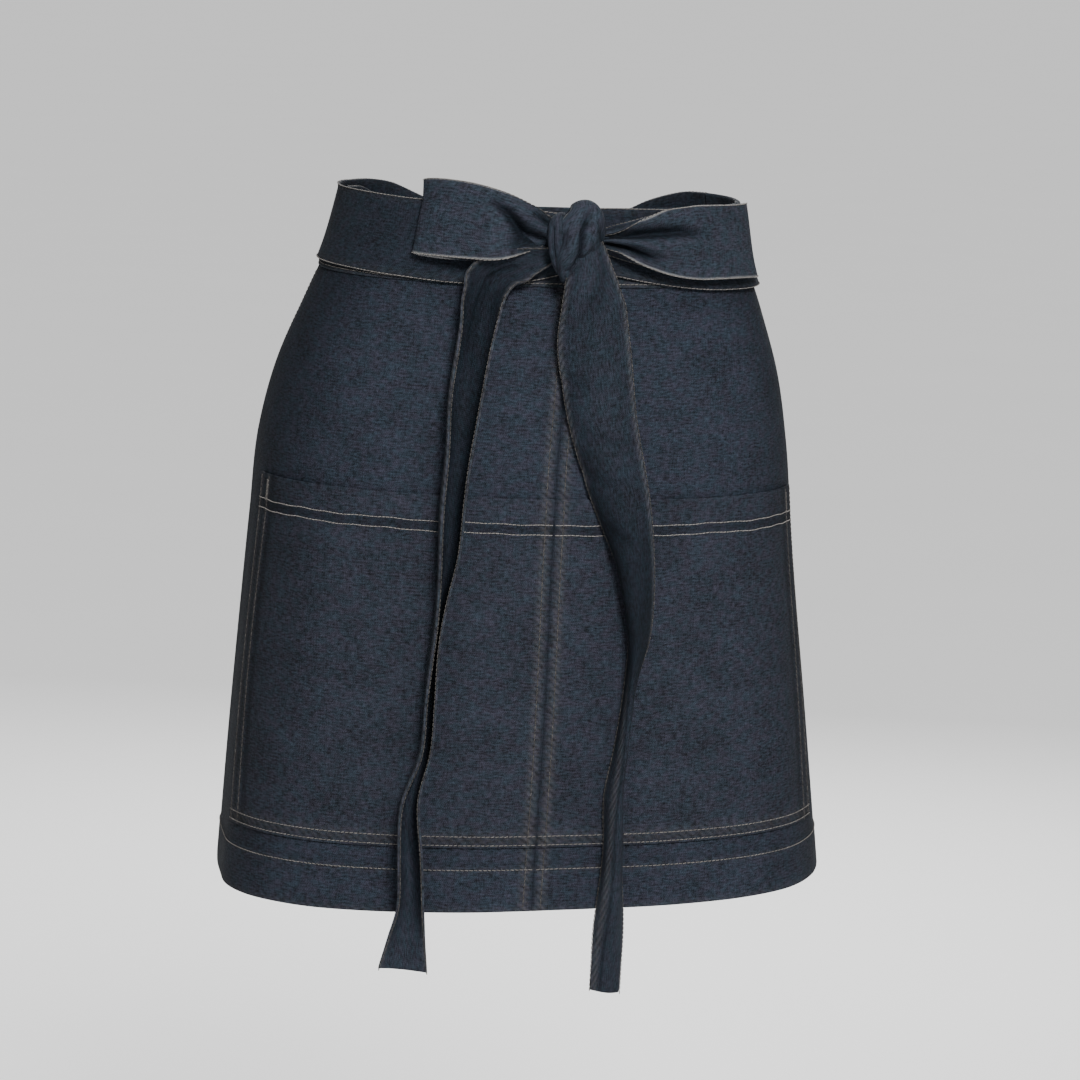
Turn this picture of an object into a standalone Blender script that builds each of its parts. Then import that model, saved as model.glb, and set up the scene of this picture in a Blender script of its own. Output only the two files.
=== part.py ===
"""Denim half apron for the waist, closed by two long ties that meet in a bow at the front.

Metres, Z up, the front faces -Y and +X is the viewer's right. The origin is the middle of the
waist, level with the top edge of the waistband at the sides. Every cloth piece is laid out on one
waist and hip form that is read from a short table, so the layers keep an even gap all the way round.
"""
import math

import bmesh
import bpy
import numpy as np

# Whole apron
LENGTH = 0.4435
HEM_HALF_WIDTH = 0.1955
HEM_HALF_DEPTH = 0.126
TIE_WIDTH = 0.050
# Cloth: one layer of denim, a tie of two layers, and the air left between neighbours
CLOTH = 0.0010
TIE_CLOTH = 0.0016
GAP = 0.0003
TIE_SLACK = 0.0010
# Turns are degrees round the waist from the front middle, positive to the viewer's right
OPEN_TURN = 112.0
KNOT_TURN = 3.9
# Pocket, as shares of the length
POCKET_TOP = 0.407
POCKET_BOTTOM = 0.903
# Colours, linear
SKIRT_COLOUR = (0.033, 0.040, 0.054)
POCKET_COLOUR = (0.036, 0.043, 0.058)
BAND_COLOUR = (0.026, 0.033, 0.043)
TIE_COLOUR = (0.035, 0.042, 0.056)
# Grid counts
POCKET_COLUMNS = 12
POCKET_ROWS = 7
SIDE_COLUMNS = 6
TIE_ROWS = 4
TIE_STEP = 6.5
LOOP_ROWS = 7
TAIL_ROWS = 6

# Waist and hip form: down (share of length), half width and half depth (shares of the hem's),
# shift to the right (share of the hem half width), power of the section (2 is an ellipse),
# swing of the centre seam in degrees, tilt of a level line (share of its own height)
FORM = [
    (0.000, 0.642, 0.712, 0.000, 2.15, 5.0, 0.000),
    (0.080, 0.680, 0.740, -0.007, 2.15, 4.7, 0.003),
    (0.158, 0.748, 0.782, -0.014, 2.15, 4.3, 0.005),
    (0.249, 0.822, 0.846, -0.025, 2.18, 3.8, 0.007),
    (0.351, 0.870, 0.893, -0.033, 2.20, 3.0, 0.008),
    (0.475, 0.896, 0.934, -0.031, 2.25, 2.1, 0.006),
    (0.735, 0.952, 0.968, -0.018, 2.45, 0.5, -0.005),
    (1.000, 1.003, 1.000, -0.004, 2.68, -1.6, -0.014),
]
# Pocket sides: down (share of length), turn of the left edge and of the right edge from the seam
POCKET_SIDES = [
    (0.40, 77.0, 70.5),
    (0.65, 75.0, 69.5),
    (0.91, 70.0, 66.5),
]
# Ties: turn from the front middle by way of the back, middle height and half width as shares of the
# tie width, and share of the way from the layer of the waistband to the layer over it
TIE_FROM_RIGHT = [
    (117.17, -0.50, 0.50, 0.0),
    (128.0, -0.52, 0.50, 0.0),
    (141.0, -0.62, 0.46, 0.0),
    (156.0, -0.80, 0.34, 0.0),
    (168.0, -0.84, 0.30, 0.0),
    (180.0, -0.84, 0.30, 0.5),
    (192.0, -0.82, 0.30, 1.0),
    (206.0, -0.68, 0.38, 1.0),
    (226.0, -0.48, 0.49, 1.0),
    (248.0, -0.43, 0.50, 1.0),
    (272.0, -0.42, 0.50, 1.0),
    (300.0, -0.43, 0.50, 1.0),
    (318.0, -0.46, 0.50, 1.0),
    (340.0, -0.49, 0.50, 1.0),
    (354.0, -0.49, 0.44, 1.0),
    (363.75, -0.46, 0.36, 1.0),
]
TIE_FROM_LEFT = [
    (107.54, -0.50, 0.50, 0.0),
    (124.0, -0.58, 0.50, 0.0),
    (142.0, -0.95, 0.44, 0.0),
    (156.0, -1.36, 0.33, 0.0),
    (168.0, -1.50, 0.30, 0.0),
    (180.0, -1.50, 0.30, 0.5),
    (192.0, -1.48, 0.30, 1.0),
    (208.0, -1.20, 0.38, 1.0),
    (228.0, -0.82, 0.48, 1.0),
    (250.0, -0.66, 0.50, 1.0),
    (272.0, -0.61, 0.50, 1.0),
    (300.0, -0.59, 0.50, 1.0),
    (322.0, -0.53, 0.50, 1.0),
    (336.0, -0.47, 0.46, 1.0),
    (346.0, -0.42, 0.42, 1.0),
    (355.95, -0.40, 0.38, 1.0),
]
# Bow loops, from the knot out to the fold and back: turn in degrees, then shares of the tie width:
# middle height, half width, stand-off from the form, and how far the middle of the strip rises
LOOP_LEFT = [
    (-4.6, -0.30, 0.25, 0.37, 0.05),
    (-9.0, -0.27, 0.35, 0.41, 0.06),
    (-15.0, -0.22, 0.43, 0.44, 0.04),
    (-22.5, -0.18, 0.48, 0.42, 0.02),
    (-30.0, -0.17, 0.50, 0.36, 0.00),
    (-35.5, -0.18, 0.49, 0.28, 0.00),
    (-37.8, -0.19, 0.48, 0.21, 0.00),
    (-35.5, -0.21, 0.48, 0.165, 0.00),
    (-28.0, -0.24, 0.47, 0.16, 0.00),
    (-18.0, -0.28, 0.43, 0.17, 0.01),
    (-10.0, -0.31, 0.36, 0.20, 0.02),
    (-4.8, -0.33, 0.26, 0.24, 0.02),
]
LOOP_RIGHT = [
    (12.0, -0.40, 0.13, 0.36, 0.05),
    (16.5, -0.42, 0.17, 0.37, 0.06),
    (22.0, -0.44, 0.25, 0.36, 0.05),
    (29.0, -0.44, 0.35, 0.34, 0.03),
    (37.0, -0.42, 0.43, 0.32, 0.01),
    (46.0, -0.42, 0.46, 0.30, 0.00),
    (57.0, -0.44, 0.46, 0.27, 0.00),
    (66.0, -0.46, 0.46, 0.225, 0.00),
    (69.5, -0.47, 0.46, 0.19, 0.00),
    (66.0, -0.47, 0.46, 0.16, 0.00),
    (54.0, -0.46, 0.46, 0.155, 0.00),
    (40.0, -0.44, 0.43, 0.155, 0.00),
    (28.0, -0.43, 0.35, 0.16, 0.01),
    (18.0, -0.42, 0.23, 0.19, 0.02),
    (12.2, -0.41, 0.15, 0.23, 0.02),
]
# Hanging tails: height, place to the right and stand-off of the middle (shares of the tie width),
# lean of the width in the front view and turn about the hanging line (degrees),
# curl of the section in degrees (edges forward when positive) and its pinch (share)
TAIL_LEFT = [
    (-0.84, -0.22, 0.27, -62, 0, 180, 0.34),
    (-0.94, -0.42, 0.25, -56, 0, 180, 0.45),
    (-1.08, -0.64, 0.21, -38, 0, 185, 0.62),
    (-1.32, -0.87, 0.17, -20, 0, 195, 0.76),
    (-1.80, -1.06, 0.14, -8, 0, 212, 0.80),
    (-2.40, -1.16, 0.13, -4, 0, 225, 0.78),
    (-3.00, -1.22, 0.13, 0, 0, 232, 0.69),
    (-3.62, -1.27, 0.13, 0, 0, 236, 0.64),
    (-4.24, -1.31, 0.13, 0, 0, 240, 0.53),
    (-4.80, -1.38, 0.13, 0, 0, 240, 0.32),
    (-5.40, -1.44, 0.13, 0, 0, 235, 0.20),
    (-6.14, -1.50, 0.13, 0, 0, 230, 0.23),
    (-6.80, -1.55, 0.13, 0, 0, 225, 0.29),
    (-7.42, -1.68, 0.13, 0, 6, 215, 0.42),
    (-8.08, -1.71, 0.13, 0, 0, 208, 0.50),
    (-8.72, -1.69, 0.13, 0, 0, 198, 0.57),
    (-9.20, -1.71, 0.13, 0, 0, 178, 0.74),
    (-9.64, -1.74, 0.13, 0, 0, 150, 0.84),
]
TAIL_RIGHT = [
    (-0.66, 0.28, 0.64, -10, 0, -56, 0.46),
    (-0.92, 0.38, 0.72, -6, 0, -60, 0.66),
    (-1.22, 0.42, 0.64, -3, 0, -66, 0.84),
    (-1.72, 0.45, 0.46, 0, 0, -76, 0.96),
    (-2.50, 0.54, 0.42, 0, 6, -86, 0.95),
    (-3.20, 0.68, 0.46, 0, 14, -105, 0.90),
    (-3.90, 0.82, 0.52, 0, 20, -130, 0.80),
    (-4.60, 0.96, 0.53, 0, 24, -160, 0.60),
    (-5.30, 1.04, 0.51, 0, 16, -190, 0.38),
    (-6.00, 1.00, 0.47, 0, 4, -205, 0.20),
    (-6.80, 0.96, 0.47, 0, -5, -205, 0.21),
    (-7.40, 0.90, 0.46, 0, -8, -200, 0.30),
    (-8.10, 0.88, 0.45, 0, 0, -190, 0.37),
    (-8.80, 0.87, 0.44, 0, 0, -180, 0.43),
    (-9.40, 0.83, 0.42, 0, 0, -172, 0.52),
    (-9.84, 0.81, 0.41, 0, 0, -168, 0.55),
]
# Knot: half sizes across, outward and up (shares of the tie width), its middle height and its tilt
KNOT_HALF = (0.39, 0.28, 0.53)
KNOT_HEIGHT = -0.42
KNOT_TILT = 12.0
KNOT_SEGMENTS = 24
KNOT_RINGS = 15

# Stand-off of every layer from the form, worked out from the cloth and the gap
SKIRT_LAYER = (CLOTH + GAP, 2 * CLOTH + GAP)
BAND_OUTER = (2 * CLOTH + 2 * GAP, 3 * CLOTH + 2 * GAP)
WRAP_LAYER = (BAND_OUTER[1] + TIE_SLACK, BAND_OUTER[1] + TIE_SLACK + TIE_CLOTH)
BAND_MIDDLE = BAND_OUTER[1] / 2
# Heights of the grid lines under the waistband and above the pocket, as shares of each
BAND_STEPS = (0.28, 0.52, 0.76, 1.0)
YOKE_STEPS = (0.2, 0.4, 0.6, 0.8, 1.0)
HEM_STEPS = (0.35, 0.7, 1.0)


def read(table, place):
    """Read the columns of a table at any place, with a smooth curve through its rows."""
    rows = np.array(table, float)
    keys = rows[:, 0]
    values = rows[:, 1:]
    place = np.clip(np.asarray(place, float), keys[0], keys[-1])
    step = np.diff(keys)[:, None]
    chord = np.diff(values, axis=0) / step
    inside = (chord[:-1] * step[1:] + chord[1:] * step[:-1]) / (step[1:] + step[:-1])
    slope = np.vstack([chord[:1], inside, chord[-1:]])
    low = np.clip(np.searchsorted(keys, place, side="right") - 1, 0, len(keys) - 2)
    span = step[low]
    u = ((place - keys[low])[..., None]) / span
    near = values[low] * (2 * u**3 - 3 * u**2 + 1) + slope[low] * span * (u**3 - 2 * u**2 + u)
    far = values[low + 1] * (3 * u**2 - 2 * u**3) + slope[low + 1] * span * (u**3 - u**2)
    return np.moveaxis(near + far, -1, 0)


def section(turn, height):
    """A point of the bare form at a turn in degrees and a height in metres."""
    wide, deep, shift, power = read(FORM, -height / LENGTH)[:4]
    angle = np.radians(turn)
    side = np.sin(angle)
    ahead = np.cos(angle)
    reach = (np.abs(side) ** power + np.abs(ahead) ** power) ** (1 / power)
    x = (wide * side / reach + shift) * HEM_HALF_WIDTH
    y = -deep * HEM_HALF_DEPTH * ahead / reach
    return np.stack([x, y, height + 0 * x], axis=-1)


def skin(turn, height, out):
    """A point at a stand-off from the form, measured square to its surface."""
    turn, height, out = np.broadcast_arrays(*[np.asarray(value, float) for value in (turn, height, out)])
    round_way = section(turn + 0.5, height) - section(turn - 0.5, height)
    up_way = section(turn, height + 0.002) - section(turn, height - 0.002)
    normal = np.cross(round_way, up_way)
    normal /= np.linalg.norm(normal, axis=-1, keepdims=True)
    return section(turn, height) + out[..., None] * normal


def on_apron(side_turn, down, out):
    """A point of the apron's cloth: turn from the centre seam, share of the length, stand-off."""
    swing, tilt = read(FORM, down)[4:]
    turn = side_turn + swing
    height = -LENGTH * down * (1 + tilt * np.sin(np.radians(turn)))
    return skin(turn, height, out)


def side_stations(side, down, pocket_only):
    """Turns of the grid lines from the centre seam to the pocket side and on to the open edge."""
    left, right = read(POCKET_SIDES, down)
    edge = left if side < 0 else right
    seam = GAP / 2 / (HEM_HALF_WIDTH * math.pi / 180)
    inner = seam + (edge - seam) * np.linspace(0, 1, POCKET_COLUMNS + 1)
    if pocket_only:
        return side * inner
    outer = edge + (OPEN_TURN - edge) * np.linspace(0, 1, SIDE_COLUMNS + 1)[1:]
    return side * np.concatenate([inner, outer])


def front_of(across, height):
    """Depth of the form's front at a place across and a height."""
    wide, deep, shift, power = read(FORM, -height / LENGTH)[:4]
    share = np.clip(np.abs(across - shift * HEM_HALF_WIDTH) / (wide * HEM_HALF_WIDTH), 0, 0.999)
    return -deep * HEM_HALF_DEPTH * (1 - share**power) ** (1 / power)


def denim(name, colour):
    """A plain rough cloth material of a given colour."""
    material = bpy.data.materials.new(name + " cloth")
    material.use_nodes = True
    shader = material.node_tree.nodes["Principled BSDF"]
    shader.inputs["Base Color"].default_value = (*colour, 1.0)
    shader.inputs["Roughness"].default_value = 0.85
    material.diffuse_color = (*colour, 1.0)
    return material


def body(name, vertices, faces, colour):
    """Make one closed object from points and faces, with its faces turned outward."""
    mesh = bpy.data.meshes.new(name)
    mesh.from_pydata([tuple(point) for point in vertices], [], faces)
    mesh.update()
    work = bmesh.new()
    work.from_mesh(mesh)
    bmesh.ops.recalc_face_normals(work, faces=work.faces)
    work.to_mesh(mesh)
    work.free()
    mesh.shade_smooth()
    mesh.set_sharp_from_angle(angle=math.radians(40))
    mesh.materials.append(denim(name, colour))
    thing = bpy.data.objects.new(name, mesh)
    bpy.context.collection.objects.link(thing)
    return thing


def slab(name, lower, upper, colour):
    """Close two equal grids of points into one cloth body."""
    rows, columns = lower.shape[:2]
    vertices = np.concatenate([lower.reshape(-1, 3), upper.reshape(-1, 3)])
    count = rows * columns

    def at(row, column, layer):
        return layer * count + row * columns + column

    faces = []
    for row in range(rows - 1):
        for column in range(columns - 1):
            ring = [(row, column), (row, column + 1), (row + 1, column + 1), (row + 1, column)]
            faces.append([at(r, c, 1) for r, c in ring])
            faces.append([at(r, c, 0) for r, c in reversed(ring)])
    rim = [(0, column) for column in range(columns)]
    rim += [(row, columns - 1) for row in range(1, rows)]
    rim += [(rows - 1, column) for column in range(columns - 2, -1, -1)]
    rim += [(row, 0) for row in range(rows - 2, 0, -1)]
    for here, after in zip(rim, rim[1:] + rim[:1]):
        faces.append([at(*here, 0), at(*after, 0), at(*after, 1), at(*here, 1)])
    return body(name, vertices, faces, colour)


def strip(name, middle, thickness, colour):
    """Give a free strip of cloth its thickness, half to each side of its middle surface."""
    along = np.gradient(middle, axis=1)
    across = np.gradient(middle, axis=0)
    normal = np.cross(along, across)
    normal /= np.linalg.norm(normal, axis=-1, keepdims=True)
    return slab(name, middle - normal * thickness / 2, middle + normal * thickness / 2, colour)


def layer(side, downs, faces, pocket_only):
    """Points of the inner and the outer face of one layer of the apron."""
    grids = []
    for out in faces:
        rows = [on_apron(side_stations(side, down, pocket_only), down, out) for down in downs]
        grids.append(np.array(rows))
    return grids


def skirt_panel(name, side):
    """One half of the skirt, from inside the waistband down to the hem."""
    band = TIE_WIDTH / LENGTH
    top = (BAND_MIDDLE + CLOTH + GAP) / LENGTH
    downs = [top, *[band * step for step in BAND_STEPS]]
    downs += [band + (POCKET_TOP - band) * step for step in YOKE_STEPS]
    downs += pocket_rows()[1:]
    downs += [POCKET_BOTTOM + (1 - POCKET_BOTTOM) * step for step in HEM_STEPS]
    return slab(name, *layer(side, downs, SKIRT_LAYER, False), SKIRT_COLOUR)


def pocket_rows():
    """Shares of the length that carry the grid lines of the pocket."""
    return list(np.linspace(POCKET_TOP, POCKET_BOTTOM, POCKET_ROWS + 1))


def pocket_panel(name, side):
    """One half of the wide patch pocket."""
    return slab(name, *layer(side, pocket_rows(), BAND_OUTER, True), POCKET_COLOUR)


def waistband(name):
    """The waistband, folded over the top edge of the skirt."""
    band = TIE_WIDTH / LENGTH
    fold = BAND_MIDDLE / LENGTH
    walls = [fold, *[band * step for step in BAND_STEPS]]
    turns = np.concatenate([side_stations(-1, band, False)[::-1], side_stations(1, band, False)])
    grids = []
    for reach in (BAND_MIDDLE - CLOTH, BAND_MIDDLE):
        profile = [(BAND_MIDDLE - reach, wall) for wall in walls[::-1]]
        for angle in (45, 90, 135):
            a = math.radians(angle)
            profile.append((BAND_MIDDLE - reach * math.cos(a), fold - reach * math.sin(a) / LENGTH))
        profile += [(BAND_MIDDLE + reach, wall) for wall in walls]
        grids.append(np.array([on_apron(turns, down, out) for out, down in profile]))
    return slab(name, grids[0], grids[1], BAND_COLOUR)


def tie(name, side, table):
    """One tie from the end of the waistband, round the back and over the far side to the knot."""
    rows = np.array(table)
    keys = [rows[0, 0]]
    for first, last in zip(rows[:-1, 0], rows[1:, 0]):
        steps = max(1, round((last - first) / TIE_STEP))
        keys += list(first + (last - first) * (np.arange(steps) + 1) / steps)
    keys = np.array(keys)
    high, half, over = read(table, keys)
    share = np.linspace(-1, 1, TIE_ROWS + 1)[:, None]
    height = (high + half * share) * TIE_WIDTH
    start = BAND_MIDDLE
    finish = sum(WRAP_LAYER) / 2
    ease = np.clip(over, 0, 1)
    out = start + (finish - start) * ease * ease * (3 - 2 * ease)
    grids = [skin(side * keys, height, out + push * TIE_CLOTH / 2) for push in (-1, 1)]
    return slab(name, grids[0], grids[1], TIE_COLOUR)


def knot_middle():
    """Centre of the knot, resting on the two ties behind it."""
    out = WRAP_LAYER[1] + GAP + KNOT_HALF[1] * TIE_WIDTH
    return skin(KNOT_TURN, KNOT_HEIGHT * TIE_WIDTH, out)


def knot_reach(way):
    """Distance from the knot's centre to its surface along unit directions."""
    tilt = math.radians(KNOT_TILT)
    x = way[..., 0] * math.cos(tilt) - way[..., 2] * math.sin(tilt)
    z = way[..., 0] * math.sin(tilt) + way[..., 2] * math.cos(tilt)
    across, outward, upward = [half * TIE_WIDTH for half in KNOT_HALF]
    return 1 / np.sqrt((x / across) ** 2 + (way[..., 1] / outward) ** 2 + (z / upward) ** 2)


def seat_on_knot(points):
    """Move the end of a strip along its line to the knot so that it stops just outside."""
    offset = points - knot_middle()
    way = offset / np.linalg.norm(offset, axis=-1, keepdims=True)
    return knot_middle() + way * (knot_reach(way) + TIE_CLOTH / 2 + GAP)[..., None]


def knot(name):
    """The knot as one rounded body."""
    rings = np.radians(np.linspace(-90, 90, KNOT_RINGS + 1)[1:-1])
    turns = np.radians(np.arange(KNOT_SEGMENTS) * 360 / KNOT_SEGMENTS)
    ways = [(0.0, 0.0, -1.0)]
    for ring in rings:
        for turn in turns:
            ways.append((math.cos(ring) * math.sin(turn), -math.cos(ring) * math.cos(turn), math.sin(ring)))
    ways.append((0.0, 0.0, 1.0))
    ways = np.array(ways)
    points = knot_middle() + ways * knot_reach(ways)[:, None]
    faces = []
    last = len(points) - 1
    for k in range(KNOT_SEGMENTS):
        after = (k + 1) % KNOT_SEGMENTS
        faces.append([0, 1 + after, 1 + k])
        top = 1 + (len(rings) - 1) * KNOT_SEGMENTS
        faces.append([last, top + k, top + after])
        for ring in range(len(rings) - 1):
            base = 1 + ring * KNOT_SEGMENTS
            faces.append([base + k, base + after, base + KNOT_SEGMENTS + after, base + KNOT_SEGMENTS + k])
    return body(name, points, faces, TIE_COLOUR)


def bow_loop(name, table):
    """One loop of the bow: out from the knot, round its fold and back behind itself."""
    numbered = [(number, *row) for number, row in enumerate(table)]
    where = np.linspace(0, len(table) - 1, 2 * len(table) - 1)
    turn, high, half, out, rise = read(numbered, where)
    share = np.linspace(-1, 1, LOOP_ROWS + 1)[:, None]
    height = (high + half * share) * TIE_WIDTH
    stand = (out + rise * np.cos(share * math.pi / 2)) * TIE_WIDTH
    middle = skin(turn + 0 * share, height, stand)
    middle[:, 0] = seat_on_knot(middle[:, 0])
    middle[:, -1] = seat_on_knot(middle[:, -1])
    return strip(name, middle, TIE_CLOTH, TIE_COLOUR)


def tail(name, table):
    """One hanging end of a tie, curled along its length, from the knot to past the hem."""
    numbered = [(number, *row) for number, row in enumerate(table)]
    where = np.linspace(0, len(table) - 1, int(1.5 * len(table)))
    high, across, out, lean, turn, curl, pinch = read(numbered, where)
    share = np.linspace(-1, 1, TAIL_ROWS + 1)[:, None]
    lean, turn, bend = np.radians(lean), np.radians(turn), np.radians(curl) / 2
    radius = TIE_WIDTH / 2 / bend
    sideways = radius * np.sin(bend * share) * pinch
    forward = radius * (1 - np.cos(bend * share))
    flat = sideways * np.cos(turn) - forward * np.sin(turn)
    ahead = sideways * np.sin(turn) + forward * np.cos(turn)
    height = high * TIE_WIDTH
    place = across * TIE_WIDTH
    depth = front_of(place, height) - out * TIE_WIDTH
    middle = np.stack([place + flat * np.cos(lean), depth - ahead, height + flat * np.sin(lean)], axis=-1)
    middle[:, 0] = seat_on_knot(middle[:, 0])
    return strip(name, middle, TIE_CLOTH, TIE_COLOUR)


def main():
    """Clear the scene and make every piece of the apron."""
    for thing in list(bpy.data.objects):
        bpy.data.objects.remove(thing, do_unlink=True)
    skirt_panel("skirt_panel_left", -1)
    skirt_panel("skirt_panel_right", 1)
    pocket_panel("pocket_left", -1)
    pocket_panel("pocket_right", 1)
    waistband("waistband")
    tie("tie_left", -1, TIE_FROM_LEFT)
    tie("tie_right", 1, TIE_FROM_RIGHT)
    bow_loop("bow_loop_left", LOOP_LEFT)
    bow_loop("bow_loop_right", LOOP_RIGHT)
    tail("tail_left", TAIL_LEFT)
    tail("tail_right", TAIL_RIGHT)
    knot("knot")


main()
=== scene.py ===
"""Denim half apron with a front bow, dressed for its render.

The cloth is laid on the same waist and hip form as the solids, layer by layer, on fine grids.
Metres, Z up, the front faces -Y, and +X is to the viewer's right. Run as a script.
"""
import math

import bpy
import numpy as np
from mathutils import Matrix, Vector


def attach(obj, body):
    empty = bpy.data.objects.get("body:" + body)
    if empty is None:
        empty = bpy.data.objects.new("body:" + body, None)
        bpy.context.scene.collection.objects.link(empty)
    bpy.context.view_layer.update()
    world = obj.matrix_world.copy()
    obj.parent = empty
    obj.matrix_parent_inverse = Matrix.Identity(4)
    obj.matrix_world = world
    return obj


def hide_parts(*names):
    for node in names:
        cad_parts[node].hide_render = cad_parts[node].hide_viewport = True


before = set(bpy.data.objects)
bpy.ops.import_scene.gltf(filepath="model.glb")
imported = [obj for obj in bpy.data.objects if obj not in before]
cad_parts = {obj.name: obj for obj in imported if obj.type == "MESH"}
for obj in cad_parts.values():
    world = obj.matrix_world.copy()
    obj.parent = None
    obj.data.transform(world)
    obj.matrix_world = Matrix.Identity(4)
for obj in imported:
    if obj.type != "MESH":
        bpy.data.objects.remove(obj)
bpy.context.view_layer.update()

bl_info = {
    "name": "Denim Half Apron",
    "version": (1, 0, 0),
    "blender": (4, 5, 0),
    "location": "View3D > Sidebar > Apron",
    "description": "Builds the cloth, the stitching and the studio of a half apron tied with a front bow",
    "category": "Object",
}

# Whole apron, and the cloth in its layers
LENGTH = 0.4435
HEM_HALF_WIDTH = 0.1955
HEM_HALF_DEPTH = 0.126
TIE_WIDTH = 0.050
CLOTH = 0.0010
TIE_CLOTH = 0.0016
GAP = 0.0003
TIE_SLACK = 0.0010
OPEN_TURN = 112.0
KNOT_TURN = 3.9
POCKET_TOP = 0.407
POCKET_BOTTOM = 0.907
# Sewing: distance of a stitched row from its edge, and widths of what is turned under
FELL_ROW = 0.0056
EDGE_ROW = 0.0022
DOUBLE_ROW = 0.0100
POCKET_HEM = 0.0245
SKIRT_HEM = 0.0270
SIDE_HEM = 0.0120
# Centre seam: where its raised band ends on each side, and the depth and width of its groove
FELL_REACH = (0.0066, 0.0090)
GROOVE_DEPTH = 0.0005
GROOVE_WIDTH = 0.0010
# Share of the length where the skirt's seams come out below the waistband
SEAM_TOP = 0.122
SIDE_ROW_TOP = 0.125
# Slant of the stitches (degrees), stitches to a pitch, and tone from dark (0) to pale (1)
SEAM_STITCH = (9.0, 1.08, 0.06)
HEM_TONE = 0.45
# Turns between which painted shade darkens the cloth towards the sides, where it turns from the light,
# and how dark it gets
SIDE_SHADE = (42, 76)
SIDE_PAINTED_SHADE = 0.62
# Width of each piece that sets how many grid lines it gets, and finer steps for the bow and knot
SKIRT_SPREAD = 0.27
POCKET_SPREAD = 0.19
BAND_SPREAD = 0.34
BOW_STEP = 0.7
KNOT_STEP = 0.4
KNOT_GRID = (132, 84)
LOOP_LINES = 9
TAIL_LINES = 12
# Where a strip stops above the knot's core, and how much of it is eased to get there
SEAT_GAP = 0.0004
SEAT_REACH = 0.0065
# Direction of the viewer, and the start of the random draws for the stitches
FORWARD = (0, -1, 0)
STITCH_SEED = 11
# Stitches along the ties, nearer to the edge than EDGE_ROW (share)
STRIP_ROW = 0.62
# Dark and pale yarn as shares of a denim's middle colour, and the dark side of the thread
DARK_YARN = 0.30
PALE_YARN = 1.95
DARK_THREAD = 0.14
# Depth of the weave and of the thread's fuzz, in metres
WEAVE_RELIEF = 0.00022
FUZZ_RELIEF = 0.00015
# Waves that all layers of the skirt share: share of the height, waves to a full turn, start in
# radians and shift over the length in radians
WAVES = [
    (0.50, 7.0, 1.1, 1.6),
    (0.34, 12.0, -0.7, -2.3),
    (0.22, 4.0, 0.0, 9.0),
    (0.12, 23.0, 0.4, 5.0),
]
# Waist and hip form: down (share of length), half width and half depth (shares of the hem's),
# shift to the right (share of the hem half width), power of the section (2 is an ellipse),
# swing of the centre seam in degrees, tilt of a level line (share of its own height)
FORM = [
    (0.000, 0.642, 0.712, 0.000, 2.15, 5.0, 0.000),
    (0.080, 0.680, 0.740, -0.007, 2.15, 4.7, 0.003),
    (0.158, 0.748, 0.782, -0.014, 2.15, 4.3, 0.005),
    (0.249, 0.822, 0.846, -0.025, 2.18, 3.8, 0.007),
    (0.351, 0.870, 0.893, -0.033, 2.20, 3.0, 0.008),
    (0.475, 0.896, 0.934, -0.031, 2.25, 2.1, 0.006),
    (0.735, 0.952, 0.968, -0.018, 2.45, 0.5, -0.005),
    (1.000, 1.003, 1.000, -0.004, 2.68, -1.6, -0.014),
]
# Pocket sides: down (share of length), turn of the left edge and of the right edge from the seam
POCKET_SIDES = [
    (0.40, 77.0, 70.5),
    (0.65, 75.0, 69.5),
    (0.91, 70.0, 66.5),
]
# Ties: turn from the front middle by way of the back, middle height and half width as shares of the
# tie width, and share of the way from the layer of the waistband to the layer over it
TIE_FROM_RIGHT = [
    (117.17, -0.50, 0.50, 0.0),
    (128.0, -0.52, 0.50, 0.0),
    (141.0, -0.62, 0.46, 0.0),
    (156.0, -0.80, 0.34, 0.0),
    (168.0, -0.84, 0.30, 0.0),
    (180.0, -0.84, 0.30, 0.5),
    (192.0, -0.82, 0.30, 1.0),
    (206.0, -0.68, 0.38, 1.0),
    (226.0, -0.48, 0.49, 1.0),
    (248.0, -0.43, 0.50, 1.0),
    (272.0, -0.42, 0.50, 1.0),
    (300.0, -0.43, 0.50, 1.0),
    (318.0, -0.46, 0.50, 1.0),
    (340.0, -0.49, 0.50, 1.0),
    (354.0, -0.49, 0.44, 1.0),
    (363.75, -0.46, 0.36, 1.0),
]
TIE_FROM_LEFT = [
    (107.54, -0.50, 0.50, 0.0),
    (124.0, -0.58, 0.50, 0.0),
    (142.0, -0.95, 0.44, 0.0),
    (156.0, -1.36, 0.33, 0.0),
    (168.0, -1.50, 0.30, 0.0),
    (180.0, -1.50, 0.30, 0.5),
    (192.0, -1.48, 0.30, 1.0),
    (208.0, -1.20, 0.38, 1.0),
    (228.0, -0.82, 0.48, 1.0),
    (250.0, -0.66, 0.50, 1.0),
    (272.0, -0.61, 0.50, 1.0),
    (300.0, -0.59, 0.50, 1.0),
    (322.0, -0.53, 0.50, 1.0),
    (336.0, -0.47, 0.46, 1.0),
    (346.0, -0.42, 0.42, 1.0),
    (355.95, -0.40, 0.38, 1.0),
]
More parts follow.
